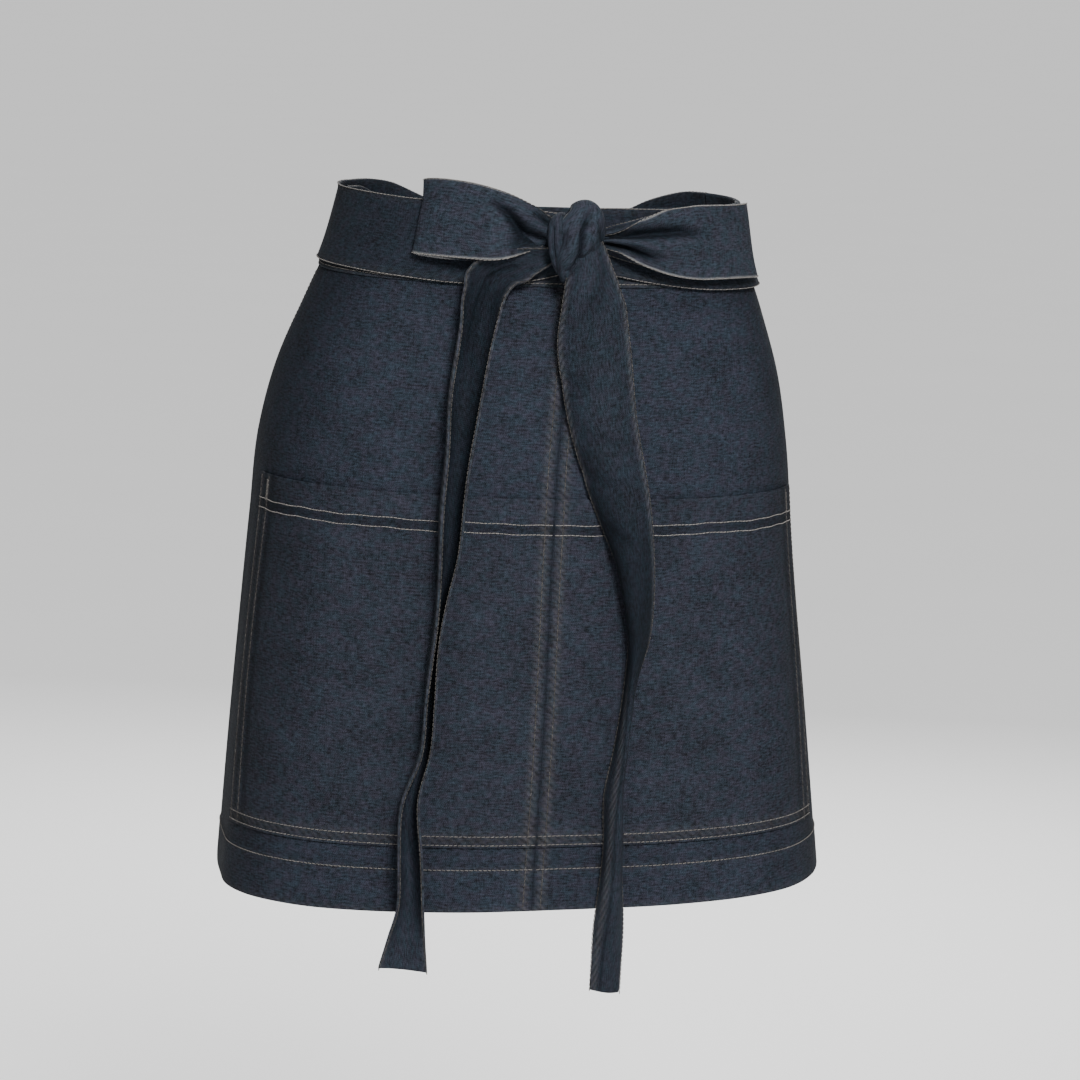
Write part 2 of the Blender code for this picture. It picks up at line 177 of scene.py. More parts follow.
# Bow loops, from the knot out to the fold and back: turn in degrees, then shares of the tie width:
# middle height, half width, stand-off from the form, and how far the middle of the strip rises
LOOP_LEFT = [
    (-4.6, -0.30, 0.25, 0.37, 0.05),
    (-9.0, -0.27, 0.35, 0.41, 0.06),
    (-15.0, -0.24, 0.45, 0.44, 0.04),
    (-22.5, -0.20, 0.50, 0.42, 0.02),
    (-30.0, -0.18, 0.51, 0.36, 0.00),
    (-35.5, -0.18, 0.50, 0.28, 0.00),
    (-37.8, -0.19, 0.48, 0.21, 0.00),
    (-35.5, -0.21, 0.48, 0.165, 0.00),
    (-28.0, -0.24, 0.47, 0.16, 0.00),
    (-18.0, -0.28, 0.43, 0.17, 0.01),
    (-10.0, -0.31, 0.36, 0.20, 0.02),
    (-4.8, -0.33, 0.26, 0.24, 0.02),
]
LOOP_RIGHT = [
    (12.0, -0.40, 0.13, 0.36, 0.05),
    (16.5, -0.42, 0.17, 0.37, 0.06),
    (22.0, -0.44, 0.29, 0.36, 0.05),
    (29.0, -0.44, 0.42, 0.34, 0.03),
    (37.0, -0.44, 0.49, 0.32, 0.01),
    (46.0, -0.45, 0.50, 0.30, 0.00),
    (57.0, -0.47, 0.50, 0.27, 0.00),
    (66.0, -0.49, 0.50, 0.225, 0.00),
    (69.5, -0.49, 0.49, 0.19, 0.00),
    (66.0, -0.48, 0.48, 0.16, 0.00),
    (54.0, -0.46, 0.46, 0.155, 0.00),
    (40.0, -0.44, 0.43, 0.155, 0.00),
    (28.0, -0.43, 0.35, 0.16, 0.01),
    (18.0, -0.42, 0.23, 0.19, 0.02),
    (12.2, -0.41, 0.15, 0.23, 0.02),
]
# Hanging tails: height, place to the right and stand-off of the middle (shares of the tie width),
# lean of the width in the front view and turn about the hanging line (degrees),
# curl of the section in degrees (edges forward when positive) and its pinch (share)
TAIL_LEFT = [
    (-0.58, -0.12, 0.27, -74, 0, 30, 0.22),
    (-0.65, -0.40, 0.28, -58, 0, 30, 0.40),
    (-0.74, -0.66, 0.25, -34, 0, 40, 0.62),
    (-0.86, -0.84, 0.20, -14, 0, 70, 0.69),
    (-1.02, -0.92, 0.17, -8, 0, 115, 0.66),
    (-1.20, -0.97, 0.15, -6, 0, 155, 0.72),
    (-1.44, -1.00, 0.14, -4, 0, 190, 0.78),
    (-1.80, -1.06, 0.14, -3, 0, 212, 0.80),
    (-2.40, -1.16, 0.13, -4, 0, 225, 0.78),
    (-3.00, -1.22, 0.13, 0, 0, 232, 0.69),
    (-3.62, -1.27, 0.13, 0, 0, 236, 0.64),
    (-4.24, -1.31, 0.13, 0, 0, 240, 0.53),
    (-4.80, -1.38, 0.13, 0, 0, 240, 0.32),
    (-5.40, -1.44, 0.13, 0, 0, 235, 0.20),
    (-6.14, -1.50, 0.13, 0, 0, 230, 0.23),
    (-6.80, -1.55, 0.13, 0, 0, 225, 0.29),
    (-7.42, -1.68, 0.13, 0, 6, 215, 0.42),
    (-8.08, -1.71, 0.13, 0, 0, 208, 0.50),
    (-8.72, -1.69, 0.13, 0, 0, 160, 0.47),
    (-9.20, -1.71, 0.14, -3, 0, 70, 0.51),
    (-9.64, -1.74, 0.15, -5, 0, 30, 0.63),
]
TAIL_RIGHT = [
    (-0.26, 0.24, 0.62, 14, 0, -62, 0.34),
    (-0.46, 0.30, 0.68, 6, 0, -60, 0.46),
    (-0.68, 0.36, 0.70, -2, 0, -60, 0.58),
    (-0.94, 0.39, 0.71, -4, 0, -62, 0.72),
    (-1.22, 0.42, 0.64, -3, 0, -66, 0.84),
    (-1.72, 0.45, 0.46, 0, 0, -76, 0.96),
    (-2.50, 0.54, 0.42, 0, 6, -86, 0.95),
    (-3.20, 0.68, 0.46, 0, 14, -105, 0.90),
    (-3.90, 0.82, 0.52, 0, 20, -130, 0.80),
    (-4.60, 0.96, 0.53, 0, 24, -160, 0.60),
    (-5.30, 1.04, 0.51, 0, 16, -190, 0.38),
    (-6.00, 1.00, 0.47, 0, 4, -205, 0.20),
    (-6.80, 0.96, 0.47, 0, -5, -205, 0.21),
    (-7.40, 0.90, 0.46, 0, -8, -200, 0.30),
    (-8.10, 0.88, 0.45, 0, 0, -190, 0.37),
    (-8.80, 0.87, 0.44, 0, 0, -160, 0.44),
    (-9.40, 0.83, 0.42, -3, 0, -80, 0.38),
    (-9.84, 0.81, 0.41, -5, 0, -36, 0.38),
]
# Knot: half sizes across, outward and up (shares of the tie width), its middle height and its tilt
KNOT_HALF = (0.39, 0.28, 0.53)
KNOT_HEIGHT = -0.42
KNOT_TILT = 12.0

SKIRT_LAYER = (CLOTH + GAP, 2 * CLOTH + GAP)
POCKET_LAYER = (2 * CLOTH + 2 * GAP, 3 * CLOTH + 2 * GAP)
WRAP_LAYER = (POCKET_LAYER[1] + TIE_SLACK, POCKET_LAYER[1] + TIE_SLACK + TIE_CLOTH)
BAND_MIDDLE = POCKET_LAYER[1] / 2
SEAM_TURN = 0.004

# Pressed folds of the bow: points along the strip from the knot and across it (shares of the tie
# width), half width of the fold (share) and its height in metres, below zero for a valley
LOOP_LEFT_FOLDS = [
    ([(-0.10, -0.22), (0.33, -0.08), (0.66, 0.20), (0.98, 0.38)], 0.066, -0.0092),
    ([(0.05, -0.22), (0.66, -0.12)], 0.20, -0.0056),
    ([(-0.05, -0.08), (0.38, 0.12), (0.72, 0.34)], 0.085, 0.0036),
    ([(-0.05, 0.12), (0.30, 0.20)], 0.05, -0.0030),
    ([(0.80, -0.40), (0.74, 0.30)], 0.12, 0.0022),
]
LOOP_RIGHT_FOLDS = [
    ([(-0.10, 0.05), (0.50, 0.12), (1.20, 0.13), (1.90, 0.04)], 0.070, -0.0088),
    ([(-0.10, 0.00), (0.50, 0.00), (1.10, -0.16)], 0.055, 0.0040),
    ([(-0.10, -0.05), (0.42, -0.09), (1.10, -0.30)], 0.050, -0.0072),
    ([(0.75, -0.02), (1.70, -0.10)], 0.15, 0.0026),
    ([(0.30, 0.20), (1.10, 0.34)], 0.07, 0.0024),
]
TAIL_LEFT_FOLDS = [
    ([(0.55, 0.05), (1.60, -0.05), (2.60, 0.05)], 0.06, -0.0020),
    ([(3.10, -0.20), (3.60, 0.16)], 0.10, 0.0012),
    ([(5.60, -0.24), (6.20, 0.05)], 0.10, -0.0012),
    ([(7.60, -0.10), (8.20, 0.20)], 0.10, 0.0012),
]
TAIL_RIGHT_FOLDS = [
    ([(0.45, 0.34), (0.85, 0.05), (1.25, -0.40)], 0.14, -0.0026),
    ([(0.90, 0.38), (1.35, 0.05), (1.75, -0.30)], 0.12, 0.0016),
    ([(1.95, -0.40), (2.05, 0.30)], 0.09, -0.0012),
    ([(2.60, -0.30), (2.75, 0.40)], 0.09, -0.0014),
    ([(3.10, -0.40), (3.25, 0.20)], 0.10, -0.0012),
    ([(3.80, -0.20), (4.05, 0.35)], 0.12, -0.0014),
]
# The knot's core is a share of the solid knot, and bands of cloth lie over it. Each row of a band,
# in shares of the tie width from the knot's middle: right, forward, up, half width and crown
KNOT_CORE = 0.74
KNOT_OVER = [
    (0.10, -0.30, 0.32, 0.13, 0.02),
    (0.13, -0.14, 0.41, 0.18, 0.05),
    (0.15, 0.05, 0.42, 0.21, 0.08),
    (0.15, 0.19, 0.33, 0.25, 0.10),
    (0.09, 0.27, 0.16, 0.29, 0.10),
    (0.00, 0.30, -0.06, 0.25, 0.09),
    (-0.11, 0.27, -0.22, 0.16, 0.06),
    (-0.14, 0.22, -0.35, 0.10, 0.04),
    (-0.13, 0.13, -0.47, 0.06, 0.02),
    (-0.12, 0.04, -0.51, 0.03, 0.00),
]
KNOT_SIDE = [
    (-0.16, -0.20, 0.24, 0.070, 0.02),
    (-0.22, -0.05, 0.29, 0.100, 0.03),
    (-0.265, 0.10, 0.235, 0.120, 0.04),
    (-0.28, 0.18, 0.09, 0.120, 0.05),
    (-0.27, 0.19, -0.08, 0.110, 0.05),
    (-0.23, 0.17, -0.26, 0.100, 0.04),
    (-0.165, 0.10, -0.40, 0.080, 0.02),
    (-0.12, 0.00, -0.44, 0.04, 0.00),
]
# How much painted shade darkens a tail along its length, where the curled strip lies in shadow: distance
# in tie widths, share
TAIL_LEFT_PAINTED_SHADE = [
    (0.0, 0.35), (0.5, 0.60), (2.5, 0.75),
    (5.2, 0.80), (6.2, 0.45), (10.0, 0.12),
]
TAIL_RIGHT_PAINTED_SHADE = [
    (0.0, 0.22), (1.2, 0.42), (2.6, 0.45), (3.3, 0.66),
    (4.2, 0.92), (5.6, 0.90), (6.4, 0.45), (10.0, 0.30),
]
# Folds of the core: points to the right and up as shares of its half sizes, then as above
KNOT_FOLDS = [
    ([(0.95, 0.35), (0.30, 0.10)], 0.12, -0.0034),
    ([(0.98, 0.05), (0.40, -0.10)], 0.12, 0.0016),
    ([(0.30, -0.35), (0.10, -0.95)], 0.10, -0.0030),
]
OVER_FOLDS = [
    ([(1.12, 0.08), (0.84, -0.04), (0.42, -0.07)], 0.042, -0.0046),
    ([(1.30, 0.04), (1.00, 0.14), (0.72, 0.19)], 0.035, -0.0026),
    ([(0.78, 0.24), (0.60, 0.10)], 0.050, -0.0030),
    ([(1.10, -0.20), (0.80, -0.22)], 0.050, -0.0022),
]
SIDE_FOLDS = [
    ([(0.45, 0.02), (0.80, 0.02), (1.10, 0.00)], 0.030, -0.0018),
]


def read(table, place):
    """Read the columns of a table at any place, with a smooth curve through its rows."""
    rows = np.array(table, float)
    keys = rows[:, 0]
    values = rows[:, 1:]
    place = np.clip(np.asarray(place, float), keys[0], keys[-1])
    step = np.diff(keys)[:, None]
    chord = np.diff(values, axis=0) / step
    inside = (chord[:-1] * step[1:] + chord[1:] * step[:-1]) / (step[1:] + step[:-1])
    slope = np.vstack([chord[:1], inside, chord[-1:]])
    low = np.clip(np.searchsorted(keys, place, side="right") - 1, 0, len(keys) - 2)
    span = step[low]
    u = ((place - keys[low])[..., None]) / span
    before = values[low] * (2 * u**3 - 3 * u**2 + 1) + slope[low] * span * (u**3 - 2 * u**2 + u)
    after = values[low + 1] * (3 * u**2 - 2 * u**3) + slope[low + 1] * span * (u**3 - u**2)
    return np.moveaxis(before + after, -1, 0)


def sampled(table, lines):
    """Read a table along its own rows, with a number of lines to each row."""
    numbered = [(number, *row) for number, row in enumerate(table)]
    return read(numbered, np.linspace(0, len(table) - 1, lines * len(table)))


def section(turn, height):
    """A point of the bare form at a turn in degrees and a height in metres."""
    wide, deep, shift, power = read(FORM, -height / LENGTH)[:4]
    angle = np.radians(turn)
    side = np.sin(angle)
    ahead = np.cos(angle)
    reach = (np.abs(side) ** power + np.abs(ahead) ** power) ** (1 / power)
    x = (wide * side / reach + shift) * HEM_HALF_WIDTH
    y = -deep * HEM_HALF_DEPTH * ahead / reach
    return np.stack([x, y, height + 0 * x], axis=-1)


def skin(turn, height, out):
    """A point at a stand-off from the form, measured square to its surface."""
    turn, height, out = np.broadcast_arrays(*[np.asarray(value, float) for value in (turn, height, out)])
    round_way = section(turn + 0.5, height) - section(turn - 0.5, height)
    up_way = section(turn, height + 0.002) - section(turn, height - 0.002)
    normal = np.cross(round_way, up_way)
    normal /= np.linalg.norm(normal, axis=-1, keepdims=True)
    return section(turn, height) + out[..., None] * normal


def on_apron(side_turn, down, out):
    """A point of the apron's cloth: turn from the centre seam, share of the length, stand-off."""
    swing, tilt = read(FORM, down)[4:]
    turn = side_turn + swing
    height = -LENGTH * down * (1 + tilt * np.sin(np.radians(turn)))
    return skin(turn, height, out)


def front_of(across, height):
    """Depth of the form's front at a place across and a height."""
    wide, deep, shift, power = read(FORM, -height / LENGTH)[:4]
    share = np.clip(np.abs(across - shift * HEM_HALF_WIDTH) / (wide * HEM_HALF_WIDTH), 0, 0.999)
    return -deep * HEM_HALF_DEPTH * (1 - share**power) ** (1 / power)


def degree_length(side_turn, down):
    """Metres of cloth to one degree of turn."""
    ahead = on_apron(side_turn + 0.5, down, SKIRT_LAYER[1])
    return np.linalg.norm(ahead - on_apron(side_turn - 0.5, down, SKIRT_LAYER[1]), axis=-1)


def ease(value, start, stop):
    """Rise smoothly from 0 to 1 between two values."""
    share = np.clip((np.asarray(value, float) - start) / (stop - start), 0, 1)
    return share * share * (3 - 2 * share)


def grid_lines(length, step):
    """Shares from 0 to 1 for the lines of a grid, with close lines at both edges."""
    close = np.array([0.0, 0.00018, 0.0006, 0.0013])
    count = max(2, round((length - 2 * close[-1]) / step))
    middle = np.linspace(close[-1], length - close[-1], count + 1)
    return np.concatenate([close[:-1], middle, (length - close[:-1])[::-1]]) / length


def rounded(distance, radius=0.0009):
    """Share of the thickness that a cloth keeps near its rounded edge."""
    share = np.clip(distance / radius, 0, 1)
    return 0.15 + 0.85 * np.sqrt(1 - (1 - share) ** 2)


def lengths_along(points, axis):
    """Distance in metres from the first line of a grid, along one of its axes."""
    step = np.linalg.norm(np.diff(points, axis=axis), axis=-1)
    start = np.zeros_like(np.take(step, [0], axis=axis))
    return np.concatenate([start, np.cumsum(step, axis=axis)], axis=axis)


def fold_heights(along, across, folds):
    """Height of pressed folds at places of the flat cloth, fading out towards their last point."""
    height = 0 * (along + across)
    for points, width, amount in folds:
        corners = np.array(points, float)
        legs = np.diff(corners, axis=0)
        run = np.concatenate([[0], np.cumsum(np.linalg.norm(legs, axis=1))])
        best = np.full_like(height, 9.0)
        place = np.zeros_like(height)
        for corner, leg, start in zip(corners, legs, run):
            u = ((along - corner[0]) * leg[0] + (across - corner[1]) * leg[1]) / (leg @ leg)
            u = np.clip(u, 0, 1)
            gap = np.hypot(along - corner[0] - u * leg[0], across - corner[1] - u * leg[1])
            nearer = gap < best
            best = np.where(nearer, gap, best)
            place = np.where(nearer, start + u * np.linalg.norm(leg), place)
        fade = 1 - ease(place / run[-1], 0.50, 1.0)
        height += amount * fade * np.exp(-((best / width) ** 2))
    return height


def soft_waves(side_turn, down, height):
    """Soft waves that all layers of the apron share, still at the waist and fuller at the hem."""
    angle = np.radians(side_turn)
    wave = sum(part * np.sin(turns * angle + start + shift * down) for part, turns, start, shift in WAVES)
    return height * wave * ease(down, 0.12, 0.55)


# Meshes


def close_sheet(name, lower, upper, flat, marks, finish, reverse=0.0):
    """Close two equal grids of points into one cloth body with its flat layout in metres."""
    rows, columns = lower.shape[:2]
    count = rows * columns
    index = np.arange(count).reshape(rows, columns)
    corners = [index[:-1, :-1], index[:-1, 1:], index[1:, 1:], index[1:, :-1]]
    ring = np.stack(corners, axis=-1).reshape(-1, 4)
    rim = np.concatenate([index[0, :-1], index[:-1, -1], index[-1, :0:-1], index[:0:-1, 0]])
    after = np.roll(rim, -1)
    walls = np.stack([rim, after, after + count, rim + count], axis=-1)
    faces = np.concatenate([ring + count, ring[:, ::-1], walls])
    points = np.concatenate([lower.reshape(-1, 3), upper.reshape(-1, 3)])
    corner = points[ring + count]
    facing = np.cross(corner[:, 1] - corner[:, 0], corner[:, 3] - corner[:, 0])
    if np.sum(facing * (upper - lower).reshape(-1, 3)[ring[:, 0]]) < 0:
        faces = faces[:, ::-1]
    thing = new_mesh(name, points, faces, finish)
    layout = thing.data.uv_layers.new(name="Flat")
    both = np.concatenate([flat.reshape(-1, 2), flat.reshape(-1, 2)])
    layout.data.foreach_set("uv", both[faces.reshape(-1)].astype(np.float32).ravel())
    for mark, values in marks.items():
        values = np.broadcast_to(values, (rows, columns)).reshape(-1)
        mark_points(thing, mark, np.concatenate([values, values]))
    mark_points(thing, "reverse", np.repeat([reverse, 0.0], count))
    return thing


def mark_points(thing, mark, values):
    """Give the points of a mesh a value each, which its finish reads."""
    field = thing.data.attributes.new(mark, "FLOAT", "POINT")
    field.data.foreach_set("value", np.asarray(values).astype(np.float32))


def new_mesh(name, points, faces, finish):
    """Add a smooth mesh object with one material to the scene."""
    mesh = bpy.data.meshes.new(name)
    mesh.from_pydata([tuple(point) for point in points], [], [tuple(face) for face in faces])
    mesh.update()
    mesh.shade_smooth()
    mesh.materials.append(finish)
    thing = bpy.data.objects.new(name, mesh)
    bpy.context.scene.collection.objects.link(thing)
    return thing


def face_out(middle, way):
    """Unit normals of a grid of points, on the side that a direction given for its start shows."""
    along = np.gradient(middle, axis=1)
    across = np.gradient(middle, axis=0)
    normal = np.cross(along, across)
    normal /= np.linalg.norm(normal, axis=-1, keepdims=True)
    if np.sum(normal[:, : normal.shape[1] // 4] @ np.array(way)) < 0:
        normal = -normal
    return normal


def strip_of_cloth(name, strip, lift, width, marks, finish):
    """Give a free strip its thickness, with rounded edges, about a middle moved out by a lift."""
    middle, normal, run, share, from_edge = strip
    middle = middle + normal * lift[..., None]
    edge = np.minimum.reduce([from_edge + 0 * run, run, run[:, -1:] - run])
    flat = np.stack([run, 0 * run + share * width], axis=-1)
    half = (TIE_CLOTH / 2 * rounded(edge, 0.0010))[..., None] * normal
    return close_sheet(name, middle - half, middle + half, flat, marks, finish)


def stitch_shape():
    """Points and faces of one stitch, a six-sided thread that dips into the cloth at both ends.

    A point is its place along the stitch (share of the length), then aside and up (thread radii).
    """
    sides = 6
    dipped = -1.1
    points = [(-0.5, 0.0, dipped)]
    for place, rise in ((-0.34, -0.2), (0.0, 0.25), (0.34, -0.2)):
        for corner in range(sides):
            angle = math.radians(60 * corner + 30)
            points.append((place, math.cos(angle), rise + math.sin(angle)))
    points.append((0.5, 0.0, dipped))
    faces = []
    last = 1 + 2 * sides
    for corner in range(sides):
        after = (corner + 1) % sides
        faces.append((0, 1 + after, 1 + corner))
        for ring in (1, 1 + sides):
            faces.append((ring + corner, ring + after, ring + sides + after, ring + sides + corner))
        faces.append((last + corner, last + after, last + sides))
    return np.array(points), faces


def sew(name, rows, cloth):
    """Lay short stitches along rows of points, each row with the normals of its cloth."""
    length = cloth.stitch_length
    pitch = cloth.stitch_pitch
    radius = cloth.thread / 2
    shape, pattern = stitch_shape()
    generator = np.random.default_rng(STITCH_SEED)
    points = []
    tones = []
    for line, normals, slant, closeness, tone in rows:
        run = lengths_along(line, 0)
        middles = np.arange(pitch / 2, run[-1], pitch / closeness)
        if len(middles) == 0:
            continue
        at = [np.interp(middles, run, line[:, axis]) for axis in range(3)]
        ahead = [np.interp(middles + pitch / 4, run, line[:, axis]) for axis in range(3)]
        behind = [np.interp(middles - pitch / 4, run, line[:, axis]) for axis in range(3)]
        up = np.stack([np.interp(middles, run, normals[:, axis]) for axis in range(3)], axis=-1)
        up /= np.linalg.norm(up, axis=-1, keepdims=True)
        way = np.stack(ahead, axis=-1) - np.stack(behind, axis=-1)
        way -= up * np.sum(way * up, axis=-1, keepdims=True)
        way /= np.linalg.norm(way, axis=-1, keepdims=True)
        side = np.cross(up, way)
        turn = np.radians(slant + generator.normal(0, 3, len(middles)))[:, None]
        lead = way * np.cos(turn) + side * np.sin(turn)
        side = side * np.cos(turn) - way * np.sin(turn)
        size = length * generator.uniform(0.92, 1.06, len(middles))[:, None, None]
        laid = np.stack(at, axis=-1)[:, None, :] + size * shape[None, :, :1] * lead[:, None, :]
        laid = laid + radius * shape[None, :, 1:2] * side[:, None, :]
        laid = laid + radius * (shape[None, :, 2:] + 0.45) * up[:, None, :]
        points.append(laid.reshape(-1, 3))
        level = np.interp(middles, run, np.broadcast_to(tone, run.shape))
        tones.append(np.repeat(level + generator.uniform(-0.15, 0.15, len(middles)), len(shape)))
    points = np.concatenate(points)
    faces = []
    for start in range(0, len(points), len(shape)):
        faces += [[start + corner for corner in face] for face in pattern]
    thing = new_mesh("stitches_" + name, points, faces, thread_finish(cloth))
    mark_points(thing, "tone", np.concatenate(tones))
    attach(thing, "root")
    return thing


# Materials


def put(tree, kind, values=None, **settings):
    """Add a node, set its values and join the sockets it is given."""
    made = tree.nodes.new(kind)
    for key, value in settings.items():
        setattr(made, key, value)
    for key, value in (values or {}).items():
        if isinstance(value, bpy.types.NodeSocket):
            tree.links.new(value, made.inputs[key])
        else:
            made.inputs[key].default_value = value
    return made


def blend(tree, factor, first, second, mode="MIX"):
    """Mix two colours."""
    made = put(tree, "ShaderNodeMix", {0: factor, 6: first, 7: second}, data_type="RGBA", blend_type=mode)
    return made.outputs[2]


def work_out(tree, operation, first, second=0.0, clamp=False):
    """One step of arithmetic on values."""
    made = put(tree, "ShaderNodeMath", {0: first, 1: second}, operation=operation, use_clamp=clamp)
    return made.outputs[0]


def noise(tree, layout, stretch, detail, roughness=0.55):
    """Cloudy noise on the flat cloth: stretch is how many clouds there are to a metre each way."""
    scaled = put(tree, "ShaderNodeVectorMath", {0: layout, 1: (*stretch, 0.0)}, operation="MULTIPLY")
    values = {"Vector": scaled.outputs[0], "Scale": 1.0, "Detail": detail, "Roughness": roughness}
    return put(tree, "ShaderNodeTexNoise", values, noise_dimensions="2D").outputs[0]


def mixed(tree, *parts):
    """Sum of values, each times its own weight."""
    total = None
    for value, weight in parts:
        part = work_out(tree, "MULTIPLY", value, weight)
        total = work_out(tree, "ADD", total, part) if total else part
    return total


def centred(tree, value):
    """A noise about zero."""
    return work_out(tree, "SUBTRACT", value, 0.5)


def read_mark(tree, name):
    """A mark of the mesh's points, read by name."""
    return put(tree, "ShaderNodeAttribute", attribute_name=name).outputs["Fac"]


def stripes(tree, layout, way, pitch):
    """Even slanting waves from -1 to 1 on the flat cloth."""
    slope = (2 * math.pi * way[0] / pitch, 2 * math.pi * way[1] / pitch, 0.0)
    phase = put(tree, "ShaderNodeVectorMath", {0: layout, 1: slope}, operation="DOT_PRODUCT")
    return work_out(tree, "SINE", phase.outputs["Value"])


def denim_group():
    """The weave, heather, pressed roping, pale edges and painted shade that every denim piece shares."""
    tree = bpy.data.node_groups.new("Washed denim with painted shade", "ShaderNodeTree")
    face = tree.interface
    for socket in ("Deep", "Light", "Edge", "Seam", "Reverse"):
        face.new_socket(name=socket, in_out="INPUT", socket_type="NodeSocketColor")
    for socket in ("Roping", "Edge Wear"):
        face.new_socket(name=socket, in_out="INPUT", socket_type="NodeSocketFloat").default_value = 1.0
    face.new_socket(name="Color", in_out="OUTPUT", socket_type="NodeSocketColor")
    face.new_socket(name="Roughness", in_out="OUTPUT", socket_type="NodeSocketFloat")
    face.new_socket(name="Height", in_out="OUTPUT", socket_type="NodeSocketFloat")
    given = put(tree, "NodeGroupInput").outputs
    layout = put(tree, "ShaderNodeUVMap", uv_map="Flat").outputs[0]
    worn, seam, painted_shade, reverse = [read_mark(tree, name) for name in ("worn", "seam", "painted_shade", "reverse")]

    weft = noise(tree, layout, (230.0, 900.0), 3.0, 0.62)
    warp = noise(tree, layout, (1000.0, 170.0), 2.0, 0.6)
    cloud = noise(tree, layout, (34.0, 46.0), 5.0, 0.62)
    tint = noise(tree, layout, (120.0, 170.0), 2.0)
    twill = stripes(tree, layout, (1.0, 0.62), 0.00125)
    rope = stripes(tree, layout, (0.8, 1.0), 0.0048)

    # Heathered cloth: dark and light yarns
    yarns = ((centred(tree, weft), 1.60), (centred(tree, warp), 0.75), (centred(tree, cloud), 0.55))
    mottle = mixed(tree, *yarns, (twill, 0.07))
    roped = work_out(tree, "MULTIPLY", work_out(tree, "MULTIPLY", rope, seam), given["Roping"])
    lit = work_out(tree, "MULTIPLY", roped, 0.10)
    level = work_out(tree, "ADD", work_out(tree, "ADD", mottle, 0.42), lit, True)
    colour = blend(tree, level, given["Deep"], given["Light"])
    # Green and violet casts of the dye
    shade = put(tree, "ShaderNodeValToRGB", {0: tint})
    shade.color_ramp.elements[0].position = 0.36
    shade.color_ramp.elements[0].color = (0.86, 1.05, 1.04, 1)
    shade.color_ramp.elements[1].position = 0.64
    shade.color_ramp.elements[1].color = (1.09, 0.97, 1.02, 1)
    colour = blend(tree, 1.0, colour, shade.outputs[0], "MULTIPLY")
    # Painted shade in folds, recesses and on shaded faces, then the undyed inner side, rubbed seams and
    # the ragged pale edge
    painted_shade_colour = blend(tree, 1.0, colour, (0.20, 0.27, 0.31, 1), "MULTIPLY")
    colour = blend(tree, painted_shade, colour, painted_shade_colour)
    undyed = work_out(tree, "ADD", work_out(tree, "MULTIPLY", mottle, 0.45), 0.34)
    undyed = work_out(tree, "MULTIPLY", undyed, reverse, clamp=True)
    colour = blend(tree, undyed, colour, given["Reverse"])
    rubbed = work_out(tree, "MULTIPLY", work_out(tree, "MULTIPLY", seam, given["Roping"]), 0.080)
    rubbed = work_out(tree, "ADD", rubbed, work_out(tree, "MULTIPLY", roped, 0.040), True)
    colour = blend(tree, rubbed, colour, given["Seam"])
    kept = work_out(tree, "MULTIPLY", mixed(tree, (weft, 0.9), (cloud, 0.7)), 1.05)
    ragged = work_out(tree, "SUBTRACT", work_out(tree, "MULTIPLY", worn, 1.9), kept)
    ragged = work_out(tree, "MULTIPLY", ragged, given["Edge Wear"], clamp=True)
    colour = blend(tree, ragged, colour, given["Edge"])

    rough = work_out(tree, "SUBTRACT", 0.93, work_out(tree, "MULTIPLY", weft, 0.16), clamp=True)
    height = mixed(tree, (twill, 0.22), (weft, 0.55), (warp, 0.30), (roped, 0.85))
    put(tree, "NodeGroupOutput", {"Color": colour, "Roughness": rough, "Height": height})
    return tree


def new_material(name):
    """A new material with its node tree and its shader."""
    material = bpy.data.materials.new(name)
    material.use_nodes = True
    return material, material.node_tree, material.node_tree.nodes["Principled BSDF"]


def toned(colour, share=1.0):
    """A colour times a share, with full alpha."""
    return (*[share * part for part in colour], 1)


def denim(name, cloth, colour, roping=1.0, wear=1.0):
    """A washed denim finish: the shared group feeds one cloth shader."""
    if name in bpy.data.materials:
        return bpy.data.materials[name]
    material, tree, shader = new_material(name)
    values = {
        "Deep": toned(colour, DARK_YARN),
        "Light": toned(colour, PALE_YARN),
        "Edge": toned(cloth.edge_colour),
        "Seam": toned(cloth.seam_colour),
        "Reverse": toned(cloth.reverse_colour),
        "Roping": roping,
        "Edge Wear": wear,
    }
    group = put(tree, "ShaderNodeGroup", node_tree=shared_denim())
    for socket, value in values.items():
        group.inputs[socket].default_value = value
    weave = {"Height": group.outputs["Height"], "Strength": 0.75, "Distance": WEAVE_RELIEF}
    bump = put(tree, "ShaderNodeBump", weave)
    tree.links.new(group.outputs["Color"], shader.inputs["Base Color"])
    tree.links.new(group.outputs["Roughness"], shader.inputs["Roughness"])
    tree.links.new(bump.outputs[0], shader.inputs["Normal"])
    shader.inputs["Specular IOR Level"].default_value = 0.12
    return material


def shared_denim():
    """The denim group, made once."""
    return bpy.data.node_groups.get("Washed denim with painted shade") or denim_group()


def thread_finish(cloth):
    """Dull cotton sewing thread, each stitch a little different in tone."""
    if "Sewing thread" in bpy.data.materials:
        return bpy.data.materials["Sewing thread"]
    material, tree, shader = new_material("Sewing thread")
    place = put(tree, "ShaderNodeTexCoord").outputs["Object"]
    grain = {"Vector": place, "Scale": 2600.0, "Detail": 2.0}
    fuzz = put(tree, "ShaderNodeTexNoise", grain).outputs[0]
    spread = work_out(tree, "MULTIPLY", centred(tree, fuzz), 0.5)
    level = work_out(tree, "ADD", read_mark(tree, "tone"), spread, True)
    colour = blend(tree, level, toned(cloth.thread_colour, DARK_THREAD), toned(cloth.thread_colour))
    bump = put(tree, "ShaderNodeBump", {"Height": fuzz, "Strength": 0.5, "Distance": FUZZ_RELIEF})
    tree.links.new(colour, shader.inputs["Base Color"])
    tree.links.new(bump.outputs[0], shader.inputs["Normal"])
    shader.inputs["Roughness"].default_value = 0.8
    shader.inputs["Specular IOR Level"].default_value = 0.25
    return material


# Pieces


